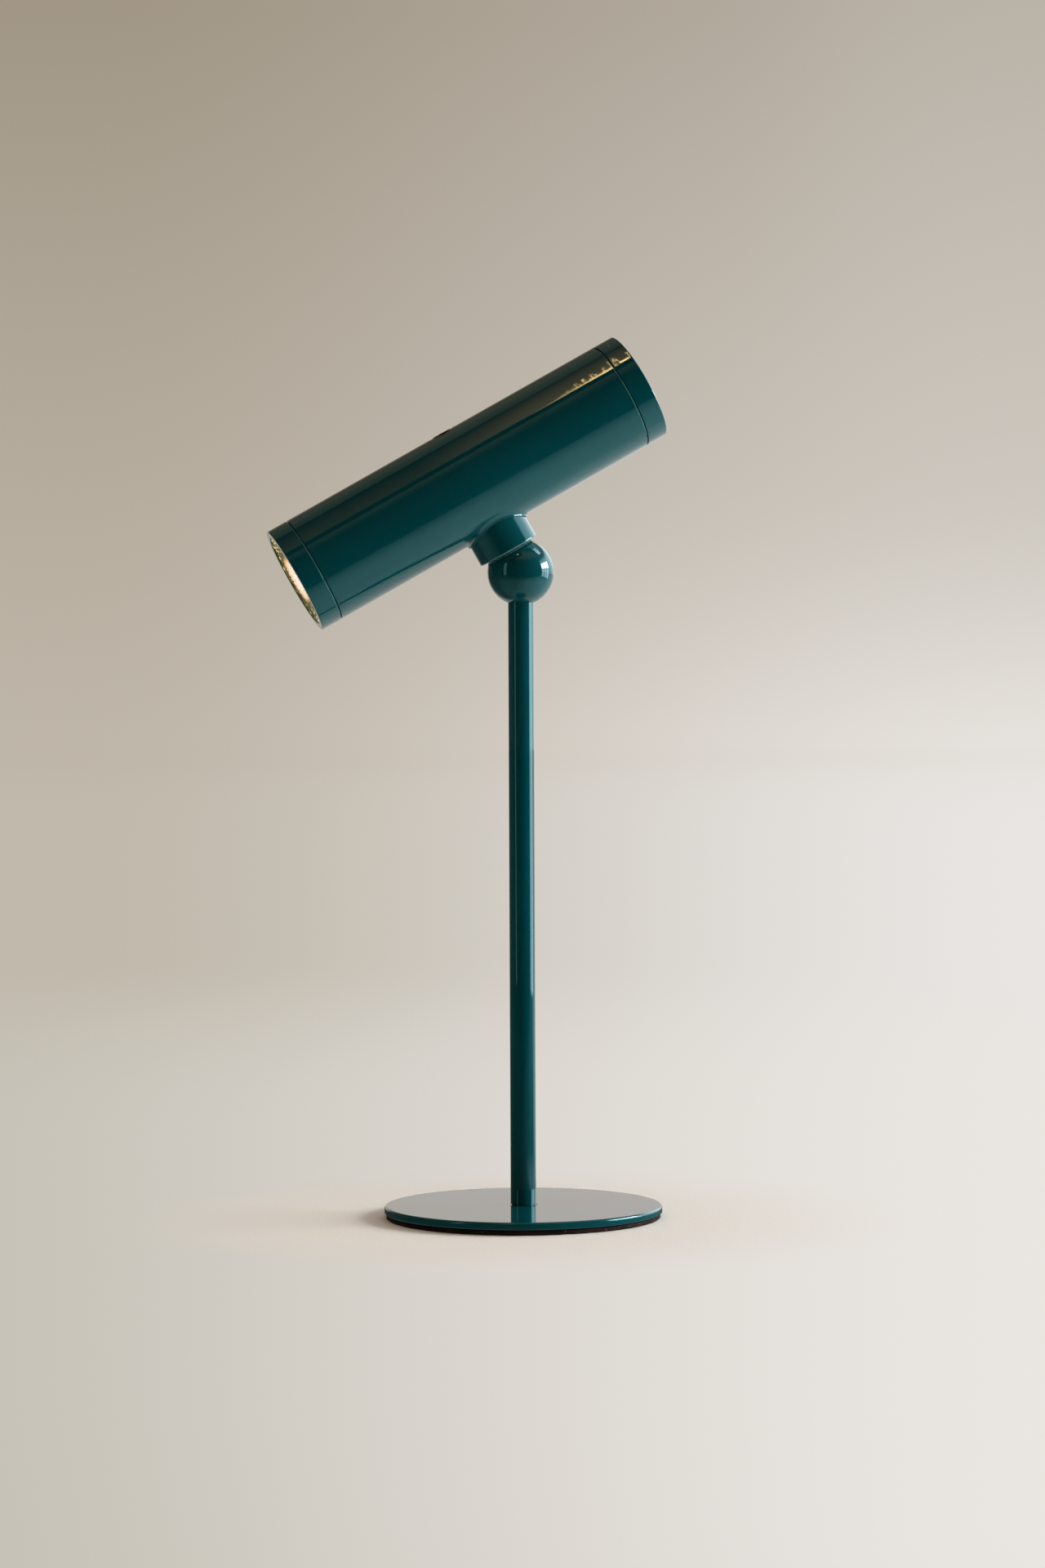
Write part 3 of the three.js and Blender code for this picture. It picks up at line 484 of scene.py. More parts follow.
def foam():
    """Black foam with dust in some of its pores."""
    n = Look("black_foam")
    grain = n.noise(1400, 5)
    dust = n.times(n.ranged(n.cells(620), 0.20, 0.11), n.ranged(n.noise(210, 1), 0.50, 0.57))
    colour = n.mixed(n.clouds(90), (0.006, 0.004, 0.003), (0.020, 0.012, 0.009))
    return n.set(
        Base_Color=n.mixed(dust, colour, (0.17, 0.13, 0.10)),
        Roughness=n.ranged(grain, 0.3, 0.7, 0.8, 0.98),
        Normal=n.bump(grain, 1.6e-4),
        Specular_IOR_Level=0.2,
    )


# The lens's light from its centre (0) to its edge (1)

LENS_STOPS = (
    (0.0, (1.0, 0.94, 0.85)),
    (0.47, (1.0, 0.76, 0.56)),
    (0.61, (0.85, 0.42, 0.12)),
    (0.70, (0.10, 0.076, 0.008)),
    (0.84, (0.11, 0.12, 0.014)),
    (0.925, (0.08, 0.09, 0.012)),
    (0.955, (0.60, 0.44, 0.11)),
)


def lens_glass():
    """A lit middle with painted shade in the valleys of its hatching, and an olive bowl with sparks round
    it.
    """
    n = Look("clear_glass")
    share, hatch, spark = n.layer("share"), n.layer("hatch"), n.layer("spark")
    ramp = n.add("ShaderNodeValToRGB")
    while len(ramp.color_ramp.elements) < len(LENS_STOPS):
        ramp.color_ramp.elements.new(0.5)
    for element, (position, colour) in zip(ramp.color_ramp.elements, LENS_STOPS):
        element.position, element.color = position, (*colour, 1)
    n.link(n.plus(share, n.ranged(spark, 0.0, 1.0, -0.06, 0.06)), ramp.inputs["Fac"])
    dim = n.times(n.ranged(share, 0.55, 0.67), n.ranged(spark, 0.46, 0.66, 0.97, 0.0))
    bowl = n.ranged(share, 0.65, 0.74)
    gleam = n.times(bowl, n.ranged(spark, 0.88, 0.93))
    # Painted shade: the light is dimmed in the valleys of the hatching, and on some of the bowl's facets at
    # random
    shade = n.times(n.ranged(hatch, 0.27, 0.48), n.math("SUBTRACT", 1.0, dim))
    shining = n.mixed(gleam, ramp.outputs["Color"], (0.66, 0.60, 0.20))
    glass = n.mixed(n.clouds(180, 2), (0.52, 0.46, 0.30), (0.60, 0.54, 0.40))
    # Painted shade: the glass's colour goes dark brown in the valleys of the hatching
    middle = n.mixed(n.ranged(hatch, 0.15, 0.35), (0.10, 0.06, 0.02), glass)
    facets = n.mixed(n.ranged(spark, 0.2, 0.9), (0.012, 0.012, 0.003), (0.28, 0.31, 0.07))
    return n.set(
        Base_Color=n.mixed(bowl, middle, facets),
        Roughness=n.ranged(n.noise(900), 0.3, 0.7, 0.03, 0.09),
        Transmission_Weight=0.6,
        IOR=1.49,
        Emission_Color=n.mixed(shade, (0.012, 0.008, 0.002), shining),
        Emission_Strength=1.45,
        Specular_IOR_Level=n.ranged(hatch, 0.5, 0.95, 0.0, 0.08),
    )


def mirror_metal():
    """The reflector's bright, golden aluminium."""
    n = Look("bright_aluminium")
    return n.set(
        Base_Color=n.mixed(n.clouds(150), (0.82, 0.70, 0.34), (0.93, 0.86, 0.60)),
        Roughness=n.ranged(n.noise(700), 0.3, 0.7, 0.05, 0.12),
        Metallic=1.0,
        Normal=n.bump(n.noise(500, 2), 4e-6),
    )


def phosphor():
    """The emitter's yellow, grainy face."""
    n = Look("emitter")
    dots = n.cells(900)
    return n.set(
        Base_Color=n.mixed(n.ranged(dots, 0.2, 0.6), (0.75, 0.48, 0.06), (0.95, 0.72, 0.16)),
        Roughness=n.ranged(dots, 0.1, 0.6, 0.35, 0.6),
        Emission_Color=(1.0, 0.78, 0.45),
        Emission_Strength=2.0,
        Normal=n.bump(dots, 4e-5),
    )


def circuit(name, mask, track):
    """Solder mask over rows of tracks."""
    n = Look(name)
    lanes = n.add("ShaderNodeTexBrick")
    lanes.inputs["Scale"].default_value = 260
    lanes.inputs["Mortar Size"].default_value = 0.035
    for key, colour in (("Color1", mask), ("Color2", mask), ("Mortar", track)):
        n.feed(lanes.inputs[key], colour)
    n.link(n.place, lanes.inputs["Vector"])
    return n.set(
        Base_Color=n.mixed(n.times(n.clouds(120), 0.35), lanes.outputs["Color"], track),
        Roughness=n.ranged(n.noise(800, 2), 0.3, 0.7, 0.25, 0.45),
        Normal=n.bump(lanes.outputs["Fac"], 3e-5, 0.5),
    )


def brass():
    """Turned brass, with painted shade, near black, low down in the gap round the button."""
    n = Look("brass")
    fine = n.noise(2800, 2, (0.1, 1, 1))
    colour = n.mixed(n.clouds(230, 4, (0.1, 1, 1)), (0.62, 0.47, 0.26), (0.80, 0.66, 0.42))
    height, _ = along_and_out(n, HEAD, (0, 0, 1))
    # Painted shade: the button's side goes near black low down in the gap, where the pocket shades it
    dark = n.short_of(height, TUBE_RADIUS - 0.5, TUBE_RADIUS - 0.34)
    return n.set(
        Base_Color=n.mixed(dark, colour, (0.020, 0.011, 0.004)),
        Roughness=n.ranged(fine, 0.3, 0.7, 0.18, 0.32),
        Normal=n.bump(fine, 4e-6),
        Metallic=1.0,
    )


# Simple materials: dark and light tone, roughness, grain, its depth in metres and, for some, its stretch

RUBBER = (0.008, 0.008, 0.008), (0.022, 0.021, 0.020), (0.55, 0.8), 1500, 3e-5
STEEL = (0.42, 0.42, 0.41), (0.60, 0.60, 0.58), (0.22, 0.4), 2400, 4e-6, (1, 1, 0.08)
NICKEL = (0.58, 0.57, 0.54), (0.72, 0.71, 0.68), (0.12, 0.26), 1800, 2e-6
ALUMINIUM = (0.56, 0.57, 0.58), (0.70, 0.71, 0.72), (0.32, 0.5), 2600, 1.2e-5
SEAT_PLASTIC = (0.66, 0.64, 0.58), (0.80, 0.78, 0.73), (0.35, 0.5), 1600, 1e-5
CHASSIS_PLASTIC = (0.018, 0.019, 0.021), (0.034, 0.036, 0.038), (0.5, 0.7), 2000, 2e-5
CELL_WRAP = (0.04, 0.17, 0.34), (0.06, 0.23, 0.42), (0.25, 0.4), 900, 1.5e-5, (0.3, 1, 1)
BLACK_PLASTIC = (0.005, 0.005, 0.005), (0.014, 0.014, 0.014), (0.35, 0.55), 2200, 1e-5
RED_WIRE = (0.30, 0.012, 0.008), (0.42, 0.022, 0.014), (0.4, 0.6), 1800, 8e-6
BLACK_WIRE = (0.006, 0.006, 0.006), (0.014, 0.014, 0.014), (0.4, 0.6), 1800, 8e-6

LOOKS = {
    "teal_paint": paint(),
    "black_foam": foam(),
    "black_rubber": simple("black_rubber", *RUBBER),
    "steel": simple("steel", *STEEL, Metallic=1.0),
    "nickel": simple("nickel", *NICKEL, Metallic=1.0),
    "aluminium": simple("aluminium", *ALUMINIUM, Metallic=1.0),
    "bright_aluminium": mirror_metal(),
    "brass": brass(),
    "clear_glass": lens_glass(),
    "seat_plastic": simple("seat_plastic", *SEAT_PLASTIC),
    "chassis_plastic": simple("chassis_plastic", *CHASSIS_PLASTIC),
    "emitter": phosphor(),
    "white_board": circuit("white_board", (0.78, 0.78, 0.74), (0.62, 0.58, 0.46)),
    "green_board": circuit("green_board", (0.010, 0.085, 0.040), (0.030, 0.15, 0.07)),
    "cell_wrap": simple("cell_wrap", *CELL_WRAP),
    "black_plastic": simple("black_plastic", *BLACK_PLASTIC),
    "red_wire": simple("red_wire", *RED_WIRE),
    "black_wire": simple("black_wire", *BLACK_WIRE),
}
seamed = paint("seamed_paint", True)

slots = {row["node"]: row["material_slot"] for row in frame["record"]["subparts"]}
for name, obj in nodes.items():
    obj.data.materials.clear()
    obj.data.materials.append(LOOKS[slots[name]])


def piece(obj, body, node, look=None):
    """Makes a smooth object stand for a node of the part."""
    dress(soften(obj), body, slots[node], look or LOOKS[slots[node]], node)


# Stand

socket_floor = PLATE_TOP - 0.8
head_hole_top = 3.5
piece(
    revolved(
        "base_plate_painted",
        rounded(
            [
                (SCREW_HOLE, head_hole_top, 0.1),
                (SCREW_HEAD_HOLE, head_hole_top, 0.1),
                (SCREW_HEAD_HOLE, PLATE_BOTTOM, 0.2),
                (BASE_RADIUS, PLATE_BOTTOM, 0.45),
                (BASE_RADIUS, PLATE_TOP, 1.15),
                (SOCKET_RADIUS, PLATE_TOP, 0.3),
                (SOCKET_RADIUS, socket_floor, 0.15),
                (SCREW_HOLE, socket_floor, 0.1),
            ],
            closed=True,
            steps=8,
        ),
        Matrix(),
        sides=320,
        closed=True,
    ),
    "stand",
    "base_plate",
)


PAD_PLAIN, PAD_FRAYED = 50, 56


def frayed(x, y, z):
    """The pad's cut edge wavers a little."""
    reach, a = hypot(x, y), atan2(y, x)
    if reach < (PAD_PLAIN + PAD_FRAYED) / 2:
        return (x, y, z)
    waver = 0.10 * sin(23 * a + 1.3 * z) + 0.07 * sin(61 * a + 2.1) + 0.05 * sin(137 * a + z)
    k = 1 + (waver - 0.22) / reach
    return (x * k, y * k, z)


pad_floor = 0.9
pad_edge = [(60, 0, 0), (PAD_RADIUS, 0, 0.35), (PAD_RADIUS, PAD_TOP, 0.3), (PAD_FRAYED, PAD_TOP, 0)]
pad_middle = [
    (PAD_PLAIN, PAD_TOP, 0),
    (SCREW_HEAD_HOLE, PAD_TOP, 0.15),
    (SCREW_HEAD_HOLE, pad_floor, 0.15),
    (0, pad_floor, 0),
]
piece(
    revolved(
        "base_pad_foam",
        [(0, 0), (PAD_FRAYED, 0), *rounded(pad_edge, steps=4), *rounded(pad_middle, steps=3)],
        Matrix(),
        sides=480,
        bend=frayed,
    ),
    "stand",
    "base_pad",
)

stem_foot = PLATE_TOP - 0.5
groove_low, groove_high, groove_depth = PLATE_TOP - 0.05, PLATE_TOP + 0.4, 0.45
piece(
    revolved(
        "stem_painted",
        rounded(
            [
                (STEM_RADIUS - STEM_WALL, stem_foot, 0.1),
                (STEM_RADIUS, stem_foot, 0.2),
                (STEM_RADIUS, groove_low, 0),
                (STEM_RADIUS - groove_depth, groove_low, 0),
                (STEM_RADIUS - groove_depth, groove_high, 0),
                (STEM_RADIUS, groove_high, 0.12),
                (STEM_RADIUS, STEM_TOP, 0.25),
                (STEM_RADIUS - STEM_WALL, STEM_TOP, 0.1),
            ],
            closed=True,
        ),
        Matrix(),
        sides=128,
        closed=True,
    ),
    "stand",
    "stem_tube",
)

# Ball joint

ball_line = arc(BALL_RADIUS, atan2(SOCKET_RIM, SOCKET_RADIUS), pi / 2, 120)[1:-1]
ball_inside = rounded(
    [
        (0, SOCKET_FLOOR + STUD_HOLE_DEPTH, 0),
        (SCREW_HOLE, SOCKET_FLOOR + STUD_HOLE_DEPTH, 0.1),
        (SCREW_HOLE, SOCKET_FLOOR, 0.1),
        (SOCKET_RADIUS, SOCKET_FLOOR, 0.1),
        (SOCKET_RADIUS, SOCKET_RIM, 0.12),
        (*ball_line[0], 0),
    ],
    steps=4,
)
ball_profile = [*ball_inside[:-1], *ball_line, (0, BALL_RADIUS)]
piece(revolved("ball_painted", ball_profile, BALL, sides=224), "ball", "ball")

sphere = BALL_RADIUS + GAP
seat_edge, seat_bevel = RECESS_RADIUS - GAP, 0.2
seat_line = arc(sphere, asin(SEAT_TOP / sphere), asin(SEAT_BOTTOM / sphere), 12)
seat_line += [(seat_edge - seat_bevel, SEAT_BOTTOM), (seat_edge, SEAT_BOTTOM + seat_bevel)]
seat_line.append((seat_edge, SEAT_TOP))
piece(revolved("seat_ring_moulded", seat_line, JOINT, sides=128, closed=True), "seat", "seat_ring")

inside_tube = AXIS_HEIGHT - 8
collar = revolved(
    "collar_painted",
    rounded(
        [
            (0, ROOF, 0),
            (RECESS_RADIUS, ROOF, 0.2),
            (RECESS_RADIUS, COLLAR_BOTTOM, 0.25),
            (COLLAR_RADIUS, COLLAR_BOTTOM, 0.65),
            (COLLAR_RADIUS, inside_tube, 0),
            (0, inside_tube, 0),
        ],
        steps=7,
    ),
    JOINT,
    sides=224,
)


def rod(name, radius, low, high, place, sides):
    """A plain round rod, to cut with."""
    return revolved(name, [(0, low), (radius, low), (radius, high), (0, high)], place, sides=sides)


def neck_holes():
    """Rods for the two screws that hold the collar to the tube."""
    places = [HEAD @ Matrix.Translation((side * NECK_SCREW_PLACE, 0, 0)) for side in (-1, 1)]
    return [rod("neck_hole", NECK_HOLE, -32, -15, place, 48) for place in places]


tube_space = rod("tube_space", TUBE_RADIUS + GAP, -30, 30, ALONG, 360)
piece(carve(collar, [tube_space, *neck_holes()]), "head", "neck_collar", seamed)

# Head tube with its drawn rim and the button's pocket


def onto_tube(x, y, z):
    """Bends a flat shape down round the tube."""
    return (x, y, z - chord(TUBE_RADIUS, y))


def seam_edge(z):
    """The flat chamfer at a seam, which leans a little into the gap."""
    return [(TUBE_RADIUS, z - CHAMFER_WIDTH, 0), (TUBE_RADIUS - CHAMFER_DEPTH, z + CHAMFER_LEAN, 0)]


rim_inner, rim_width, rim_rise, rim_root = COLLAR_RADIUS + GAP, 2.3, 1.3, 0.8
rim_outer = rim_inner + rim_width
flank_width, flank_height = 1.95, rim_rise + 0.06
flank = [(rim_outer - flank_width * x, flank_height * y - rim_rise) for x, y in arc(1, 0, pi / 2, 12)]
rim_corners = [(rim_inner, rim_root, 0), (rim_inner, -rim_rise, 0.12), (flank[0][0], -rim_rise, 0.12)]
rim_corners += [(*point, 0) for point in flank[1:]]
rim_corners.append((rim_outer, rim_root, 0))
rim_line = rounded(rim_corners, closed=True, steps=3)
rim = revolved("rim", rim_line, HEAD, sides=240, closed=True, bend=onto_tube)

tube_line = rounded(
    [
        (TUBE_INNER, TUBE_FRONT, 0.15),
        (TUBE_RADIUS, TUBE_FRONT, 0.2),
        *seam_edge(TUBE_REAR),
        (TUBE_INNER, TUBE_REAR + CHAMFER_LEAN, 0.15),
    ],
    closed=True,
    steps=6,
)
tube = revolved("tube_painted", tube_line, ALONG, sides=360, closed=True)
carve(tube, [rim], "UNION")

pocket_floor, pocket_radius, above_tube = 23.95, 6.7, 27
pocket_corners = [
    (0, pocket_floor, 0),
    (pocket_radius, pocket_floor, 0.25),
    (pocket_radius, above_tube, 0),
    (0, above_tube, 0),
]
pocket = revolved("pocket", rounded(pocket_corners, steps=4), BUTTON, sides=128)
hole = rod("hole", BUTTON_RADIUS + GAP, 20, above_tube, BUTTON, 128)
piece(carve(tube, [pocket, hole, *neck_holes()]), "head", "head_tube", seamed)

# Button: a flange, a fine groove, a round edge and turned rings on its top

flange_radius, flange_low, flange_high, flange_bevel = 5.9, 20.3, 21.1, 0.15
groove_radius, edge_radius, edge_height = 4.4, 0.35, 24.65
cap_top = edge_height + edge_radius
cap_line = [
    (0, flange_low),
    (flange_radius - flange_bevel, flange_low),
    (flange_radius, flange_low + flange_bevel),
    (flange_radius, flange_high - flange_bevel),
    (flange_radius - flange_bevel, flange_high),
    (BUTTON_RADIUS, flange_high),
    (BUTTON_RADIUS, 24.05),
    (groove_radius, 24.12),
    (groove_radius, 24.48),
    (BUTTON_RADIUS - 0.06, 24.55),
    (BUTTON_RADIUS, 24.61),
]
cap_line += [(BUTTON_RADIUS - edge_radius + x, edge_height + y) for x, y in arc(edge_radius, 0, pi / 2, 6)]
for k in range(7):
    r, crest = 3.6 - 0.5 * k, cap_top - 0.02 - 0.012 * k
    cap_line += [(r + 0.12, crest), (r, crest - 0.06), (r - 0.12, crest)]
cap_line.append((0, cap_top - 0.12))
piece(revolved("button_turned", cap_line, BUTTON, sides=128), "button", "button_cap")

# Light end

ring_line = rounded(
    [
        (LIP_RADIUS, RING_FRONT, 0.25),
        (TUBE_RADIUS, RING_FRONT, 0.4),
        *seam_edge(RING_BACK),
        (SLEEVE, RING_BACK + CHAMFER_LEAN, 0.1),
        (SLEEVE, RING_BACK + SLEEVE_LENGTH, 0.25),
        (RING_BORE, RING_BACK + SLEEVE_LENGTH, 0.2),
        (RING_BORE, RING_FRONT + LIP_THICK, 0.1),
        (LIP_RADIUS, RING_FRONT + LIP_THICK, 0.1),
    ],
    closed=True,
    steps=6,
)
piece(revolved("front_ring_painted", ring_line, ALONG, sides=320, closed=True), "head", "front_ring", seamed)

LENS_PITCH, LENS_TURN = 1.6, radians(22)
LENS_ROW, LENS_FACETS = 1.6, 46
LIT_SHAPE = 0.3
FIELD_RADIUS, BOWL_RADIUS = 16.6, LIP_RADIUS - GAP


def lens_grid(x, y):
    """Where a point lies in the turned grid of pyramids, in pitches."""
    across = x * cos(LENS_TURN) + y * sin(LENS_TURN)
    down = y * cos(LENS_TURN) - x * sin(LENS_TURN)
    return across / LENS_PITCH, down / LENS_PITCH


def lens_rows(x, y):
    """Where a point lies in the bowl's rows of facets, staggered from row to row: row and turn."""
    row = (hypot(x, y) - FIELD_RADIUS) / LENS_ROW
    return row, atan2(y, x) / (2 * pi) * LENS_FACETS + 0.5 * (int(row) % 2)


def hatched(x, y):
    """The height of a field of small square pyramids, from 0 in their valleys to 1 at their tips."""
    across, down = lens_grid(x, y)
    return 1 - 2 * max(abs(across - round(across)), abs(down - round(down)))


def ribbed(x, y):
    """The height of the bowl's facets."""
    row, turn = lens_rows(x, y)
    return 1 - 2 * max(abs(row - int(row) - 0.5), abs(turn - round(turn)))


def scattered(a, b):
    """A number from 0 to 1 for each cell, with no pattern to it."""
    value = sin(a * 12.9898 + b * 78.233) * 43758.5453
    return value - int(value // 1)


def sparkle(x, y):
    """The scattered number of the pyramid or facet that a point lies on."""
    if hypot(x, y) < FIELD_RADIUS:
        across, down = lens_grid(x, y)
        return scattered(round(across), round(down))
    row, turn = lens_rows(x, y)
    return scattered(round(turn), int(row) + 7)


def lit_share(x, y, radius):
    """How far out a point lies, 1 at the edge. The lit patch is wider across the head than up and down."""
    r = hypot(x, y) / radius
    return r * (1 + LIT_SHAPE * cos(2 * atan2(y, x)) * (1 - r**8))


def lens_disc():
    """Pyramids in the middle, a bowl of facets round them, and a plain rim and back."""
    lens_radius, edge, relief, rings, sides = RING_BORE - GAP, 0.2, 0.14, 84, 448
    top, deep, shelf, back = (RING_FRONT + depth for depth in (0.25, 1.05, 1.5, 3.5))
    bm = bmesh.new()
    layers = [bm.verts.layers.float.new(name) for name in ("share", "hatch", "spark")]

    def point(x, y, z, height):
        vert = bm.verts.new((x, y, z))
        for layer, value in zip(layers, (lit_share(x, y, lens_radius), height, sparkle(x, y))):
            vert[layer] = value
        return vert

    grid = []
    for i in range(1, rings + 1):
        r = BOWL_RADIUS * i / rings
        climb = max(0, (r - FIELD_RADIUS) / (BOWL_RADIUS - FIELD_RADIUS))
        near_edge = min(1, (BOWL_RADIUS - r) / 0.4)
        ring = []
        for x, y in circle(r, sides):
            height = hatched(x, y) if climb == 0 else ribbed(x, y) * near_edge
            sunk = deep - climb * (deep - top) + relief * (1 - height) * near_edge
            ring.append(point(x, y, sunk, height))
        grid.append(ring)
    outside = [(BOWL_RADIUS, shelf), (lens_radius - edge, shelf), (lens_radius, shelf + edge)]
    for r, z in [*outside, (lens_radius, back)]:
        grid.append([point(x, y, z, 0) for x, y in circle(r, sides)])
    first = point(0, 0, deep + relief * (1 - hatched(0, 0)), hatched(0, 0))
    last = point(0, 0, back, 0)
    for low, high in neighbours([[first], *grid, [last]], False):
        bridge(bm, low, high)
    bmesh.ops.recalc_face_normals(bm, faces=bm.faces)
    return new_object("lens_prismatic", bare_mesh(bm, "lens_prismatic"), ALONG)


lens = lens_disc()
lens.data.shade_flat()
dress(lens, "head", "clear_glass", LOOKS["clear_glass"], "lens")


def reflector_bowl():
    """A parabola of flat facets, each ring turned by half a facet."""
    rim, throat, facets, rings = 20.6, 7.0, 32, 9
    front, back = RING_FRONT + 5.3, RING_FRONT + 27.3
    flange, flange_back = 22.2, front + 1.2
    bm = bmesh.new()

    def ring(r, z, i):
        return [bm.verts.new((x, y, z)) for x, y in circle(r, facets, i / 2)]

    layers = []
    for wall in (0.0, 1.0):
        layer = []
        for i in range(rings + 1):
            r = sqrt(throat**2 + (rim**2 - throat**2) * i / rings) + wall
            z = flange_back if wall and i == rings else back - (back - front) * i / rings
            layer.append(ring(r, z, i))
        layers.append(layer)
    inner, outer = layers
    edge = [ring(flange, z, rings) for z in (front, flange_back)]
    for low, high in neighbours(inner + edge + outer[::-1], True):
        bridge(bm, low, high)
    bmesh.ops.triangulate(bm, faces=bm.faces)
    return new_object("reflector_faceted", finish_mesh(bm, "reflector_faceted"), ALONG)


bowl = reflector_bowl()
bowl.data.shade_flat()
dress(bowl, "head", "bright_aluminium", LOOKS["bright_aluminium"], "reflector")

# Rear cap and charging inlet

spigot, cap_floor, seal_groove = SLEEVE - 2.6, CAP_REAR - 2.2, SLEEVE - 1.3
seal_front, seal_back = CAP_FRONT - 3.9, CAP_FRONT - 2.1
cap = revolved(
    "rear_cap_painted",
    rounded(
        [
            (0, cap_floor, 0),
            (spigot, cap_floor, 0.3),
            (spigot, CAP_FRONT - SLEEVE_LENGTH, 0.2),
            (SLEEVE, CAP_FRONT - SLEEVE_LENGTH, 0.3),
            (SLEEVE, seal_front, 0.1),
            (seal_groove, seal_front, 0.1),
            (seal_groove, seal_back, 0.1),
            (SLEEVE, seal_back, 0.1),
            (SLEEVE, CAP_FRONT, 0.1),
            (TUBE_RADIUS, CAP_FRONT, 0.2),
            (TUBE_RADIUS, CAP_REAR, 0.6),
            (0, CAP_REAR, 0),
        ],
        steps=7,
    ),
    ALONG,
    sides=320,
)
SLOT = HEAD @ Matrix(((0, 0, 1, 0), (1, 0, 0, 0), (0, 1, 0, 0), (0, 0, 0, 1)))
inlet_width, inlet_height, inlet_wall = 9.0, 3.3, 0.35
inlet_front, inlet_back, inlet_floor = 80.1, 87.6, 80.8
past_cap = CAP_REAR + 2
shelf = prism("shelf", rectangle(10, -7.25, -3.25), 73.6, cap_floor + 0.2, SLOT)
carve(cap, [shelf], "UNION")
inlet_outline = stadium(inlet_width + 2 * GAP, inlet_height + 2 * GAP)
inlet_hole = prism("inlet_hole", inlet_outline, cap_floor - 2, past_cap, SLOT)
piece(carve(cap, [inlet_hole]), "head", "rear_cap", seamed)

inlet = prism("inlet_shell", stadium(inlet_width, inlet_height), inlet_front, inlet_back, SLOT)
well_outline = stadium(inlet_width - 2 * inlet_wall, inlet_height - 2 * inlet_wall)
carve(inlet, [prism("well", well_outline, inlet_floor, past_cap, SLOT)])
tongue = prism("tongue", rectangle(3.35, -0.35, 0.35), inlet_floor - 0.35, 85.3, SLOT)
piece(carve(inlet, [tongue], "UNION"), "head", "charge_socket")

# Camera, where the photograph was taken from

PHOTO_HEIGHT, FOCAL_LENGTH = 1920, 4515.1
SENSOR_HEIGHT = 36
camera_place = Vector((-0.2359, -1.6380, 0.2187))
pitch, yaw, roll = radians(-0.83), radians(8.21), radians(-0.25)
forward = Vector((sin(yaw) * cos(pitch), cos(yaw) * cos(pitch), sin(pitch)))
right = Vector((cos(yaw), -sin(yaw), 0))
up = right.cross(forward)
right, up = right * cos(roll) + up * sin(roll), up * cos(roll) - right * sin(roll)
camera_data = bpy.data.cameras.new("camera")
camera_data.sensor_fit = "VERTICAL"
camera_data.sensor_height = SENSOR_HEIGHT
camera_data.lens = FOCAL_LENGTH / PHOTO_HEIGHT * SENSOR_HEIGHT
camera_data.clip_end = 100
camera = bpy.data.objects.new("camera", camera_data)
bpy.context.scene.collection.objects.link(camera)
camera.matrix_world = Matrix.Translation(camera_place) @ Matrix((right, up, -forward)).transposed().to_4x4()
bpy.context.scene.camera = camera

# Surroundings in metres: a pale floor and backdrop, a window at the right, a dark room in front

# Each tone at the left end and at the right end, with painted light: dim and beige at the left, bright and
# pale at the right by the window

WALL = (0.520, 0.468, 0.395), (0.800, 0.765, 0.730)
NEAR_WALL = (0.530, 0.487, 0.412), (0.812, 0.785, 0.765)
FLOOR = (0.548, 0.517, 0.451), (0.820, 0.785, 0.752)

HORIZON = (0.84, 0.83, 0.80)
FLOOR_RADIUS = 40


def spread_of(n, x, y, origin=(0, 0)):
    """How far a direction in plan lies from the left, dimly lit beige end of the backdrop to its right,
    brightly lit pale end; the change is painted light.

    The second of the two values rises over a wider turn. Where an origin is given, both fade near it.
    """
    x, y = n.math("SUBTRACT", x, origin[0]), n.math("SUBTRACT", y, origin[1])
    angle = n.math("ARCTAN2", x, y)
    ahead = n.eased(angle, radians(80), radians(170), 1.0, 0.0)
    if any(origin):
        ahead = n.times(ahead, n.eased(y, 0.0, 1.0))
    narrow = n.eased(angle, radians(1.2), radians(16.8))
    wide = n.eased(angle, radians(-4), radians(17))
    return n.times(ahead, narrow), n.times(ahead, wide)


def backdrop(n, spread, tone, z):
    """What the camera sees: the wall, with painted light that is a little darker higher up and above the
    horizon.
    """
    high = n.mixed(n.eased(spread, 0.7, 1.0), (0.69, 0.66, 0.61), (0.73, 0.71, 0.675))
    dusk = n.mixed(n.ranged(z, 0.0, 0.19), tone, high, "MULTIPLY")
    step = n.times(spread, n.eased(z, -0.02, 0.07))
    return n.sky(n.mixed(step, dusk, HORIZON, "MULTIPLY"), 1.0)


def mirrored_room(n, spread, tone, x, y, z):
    """What gloss shows: an amber wall behind the lamp, a dark room in front, a bright wall at the right."""
    amber = n.mixed(n.eased(z, 0.1, 0.5), tone, (1.0, 0.84, 0.62), "MULTIPLY")
    low_tone = n.mixed(spread, (0.635, 0.560, 0.500), (0.715, 0.621, 0.590))
    amber = n.mixed(n.eased(z, 0.16, 0.28), low_tone, amber)
    low_glow = n.times(n.eased(x, -0.50, -0.20, 0.12, 1.0), n.eased(z, 0.15, 0.6, 1.24, 0.18))
    high_glow = n.eased(z, 0.45, 0.75, 0.0, 0.26)
    behind = n.sky(amber, n.plus(low_glow, high_glow))
    room = n.sky((1.0, 0.52, 0.27), n.eased(z, 0.55, 0.8, 0.02, 0.36))
    both = n.mix_shaders(n.eased(y, -0.25, 0.05), room, behind)
    right_wall = n.sky((0.92, 0.97, 1.0), n.eased(z, 0.0, 0.28, 1.6, 2.5))
    in_depth = n.times(n.eased(y, -0.42, -0.16), n.eased(y, 0.80, 0.97, 1.0, 0.0))
    across = n.times(n.eased(x, 0.15, 0.45), n.eased(z, 0.42, 0.58, 1.0, 0.0))
    return n.mix_shaders(n.times(in_depth, across), both, right_wall)


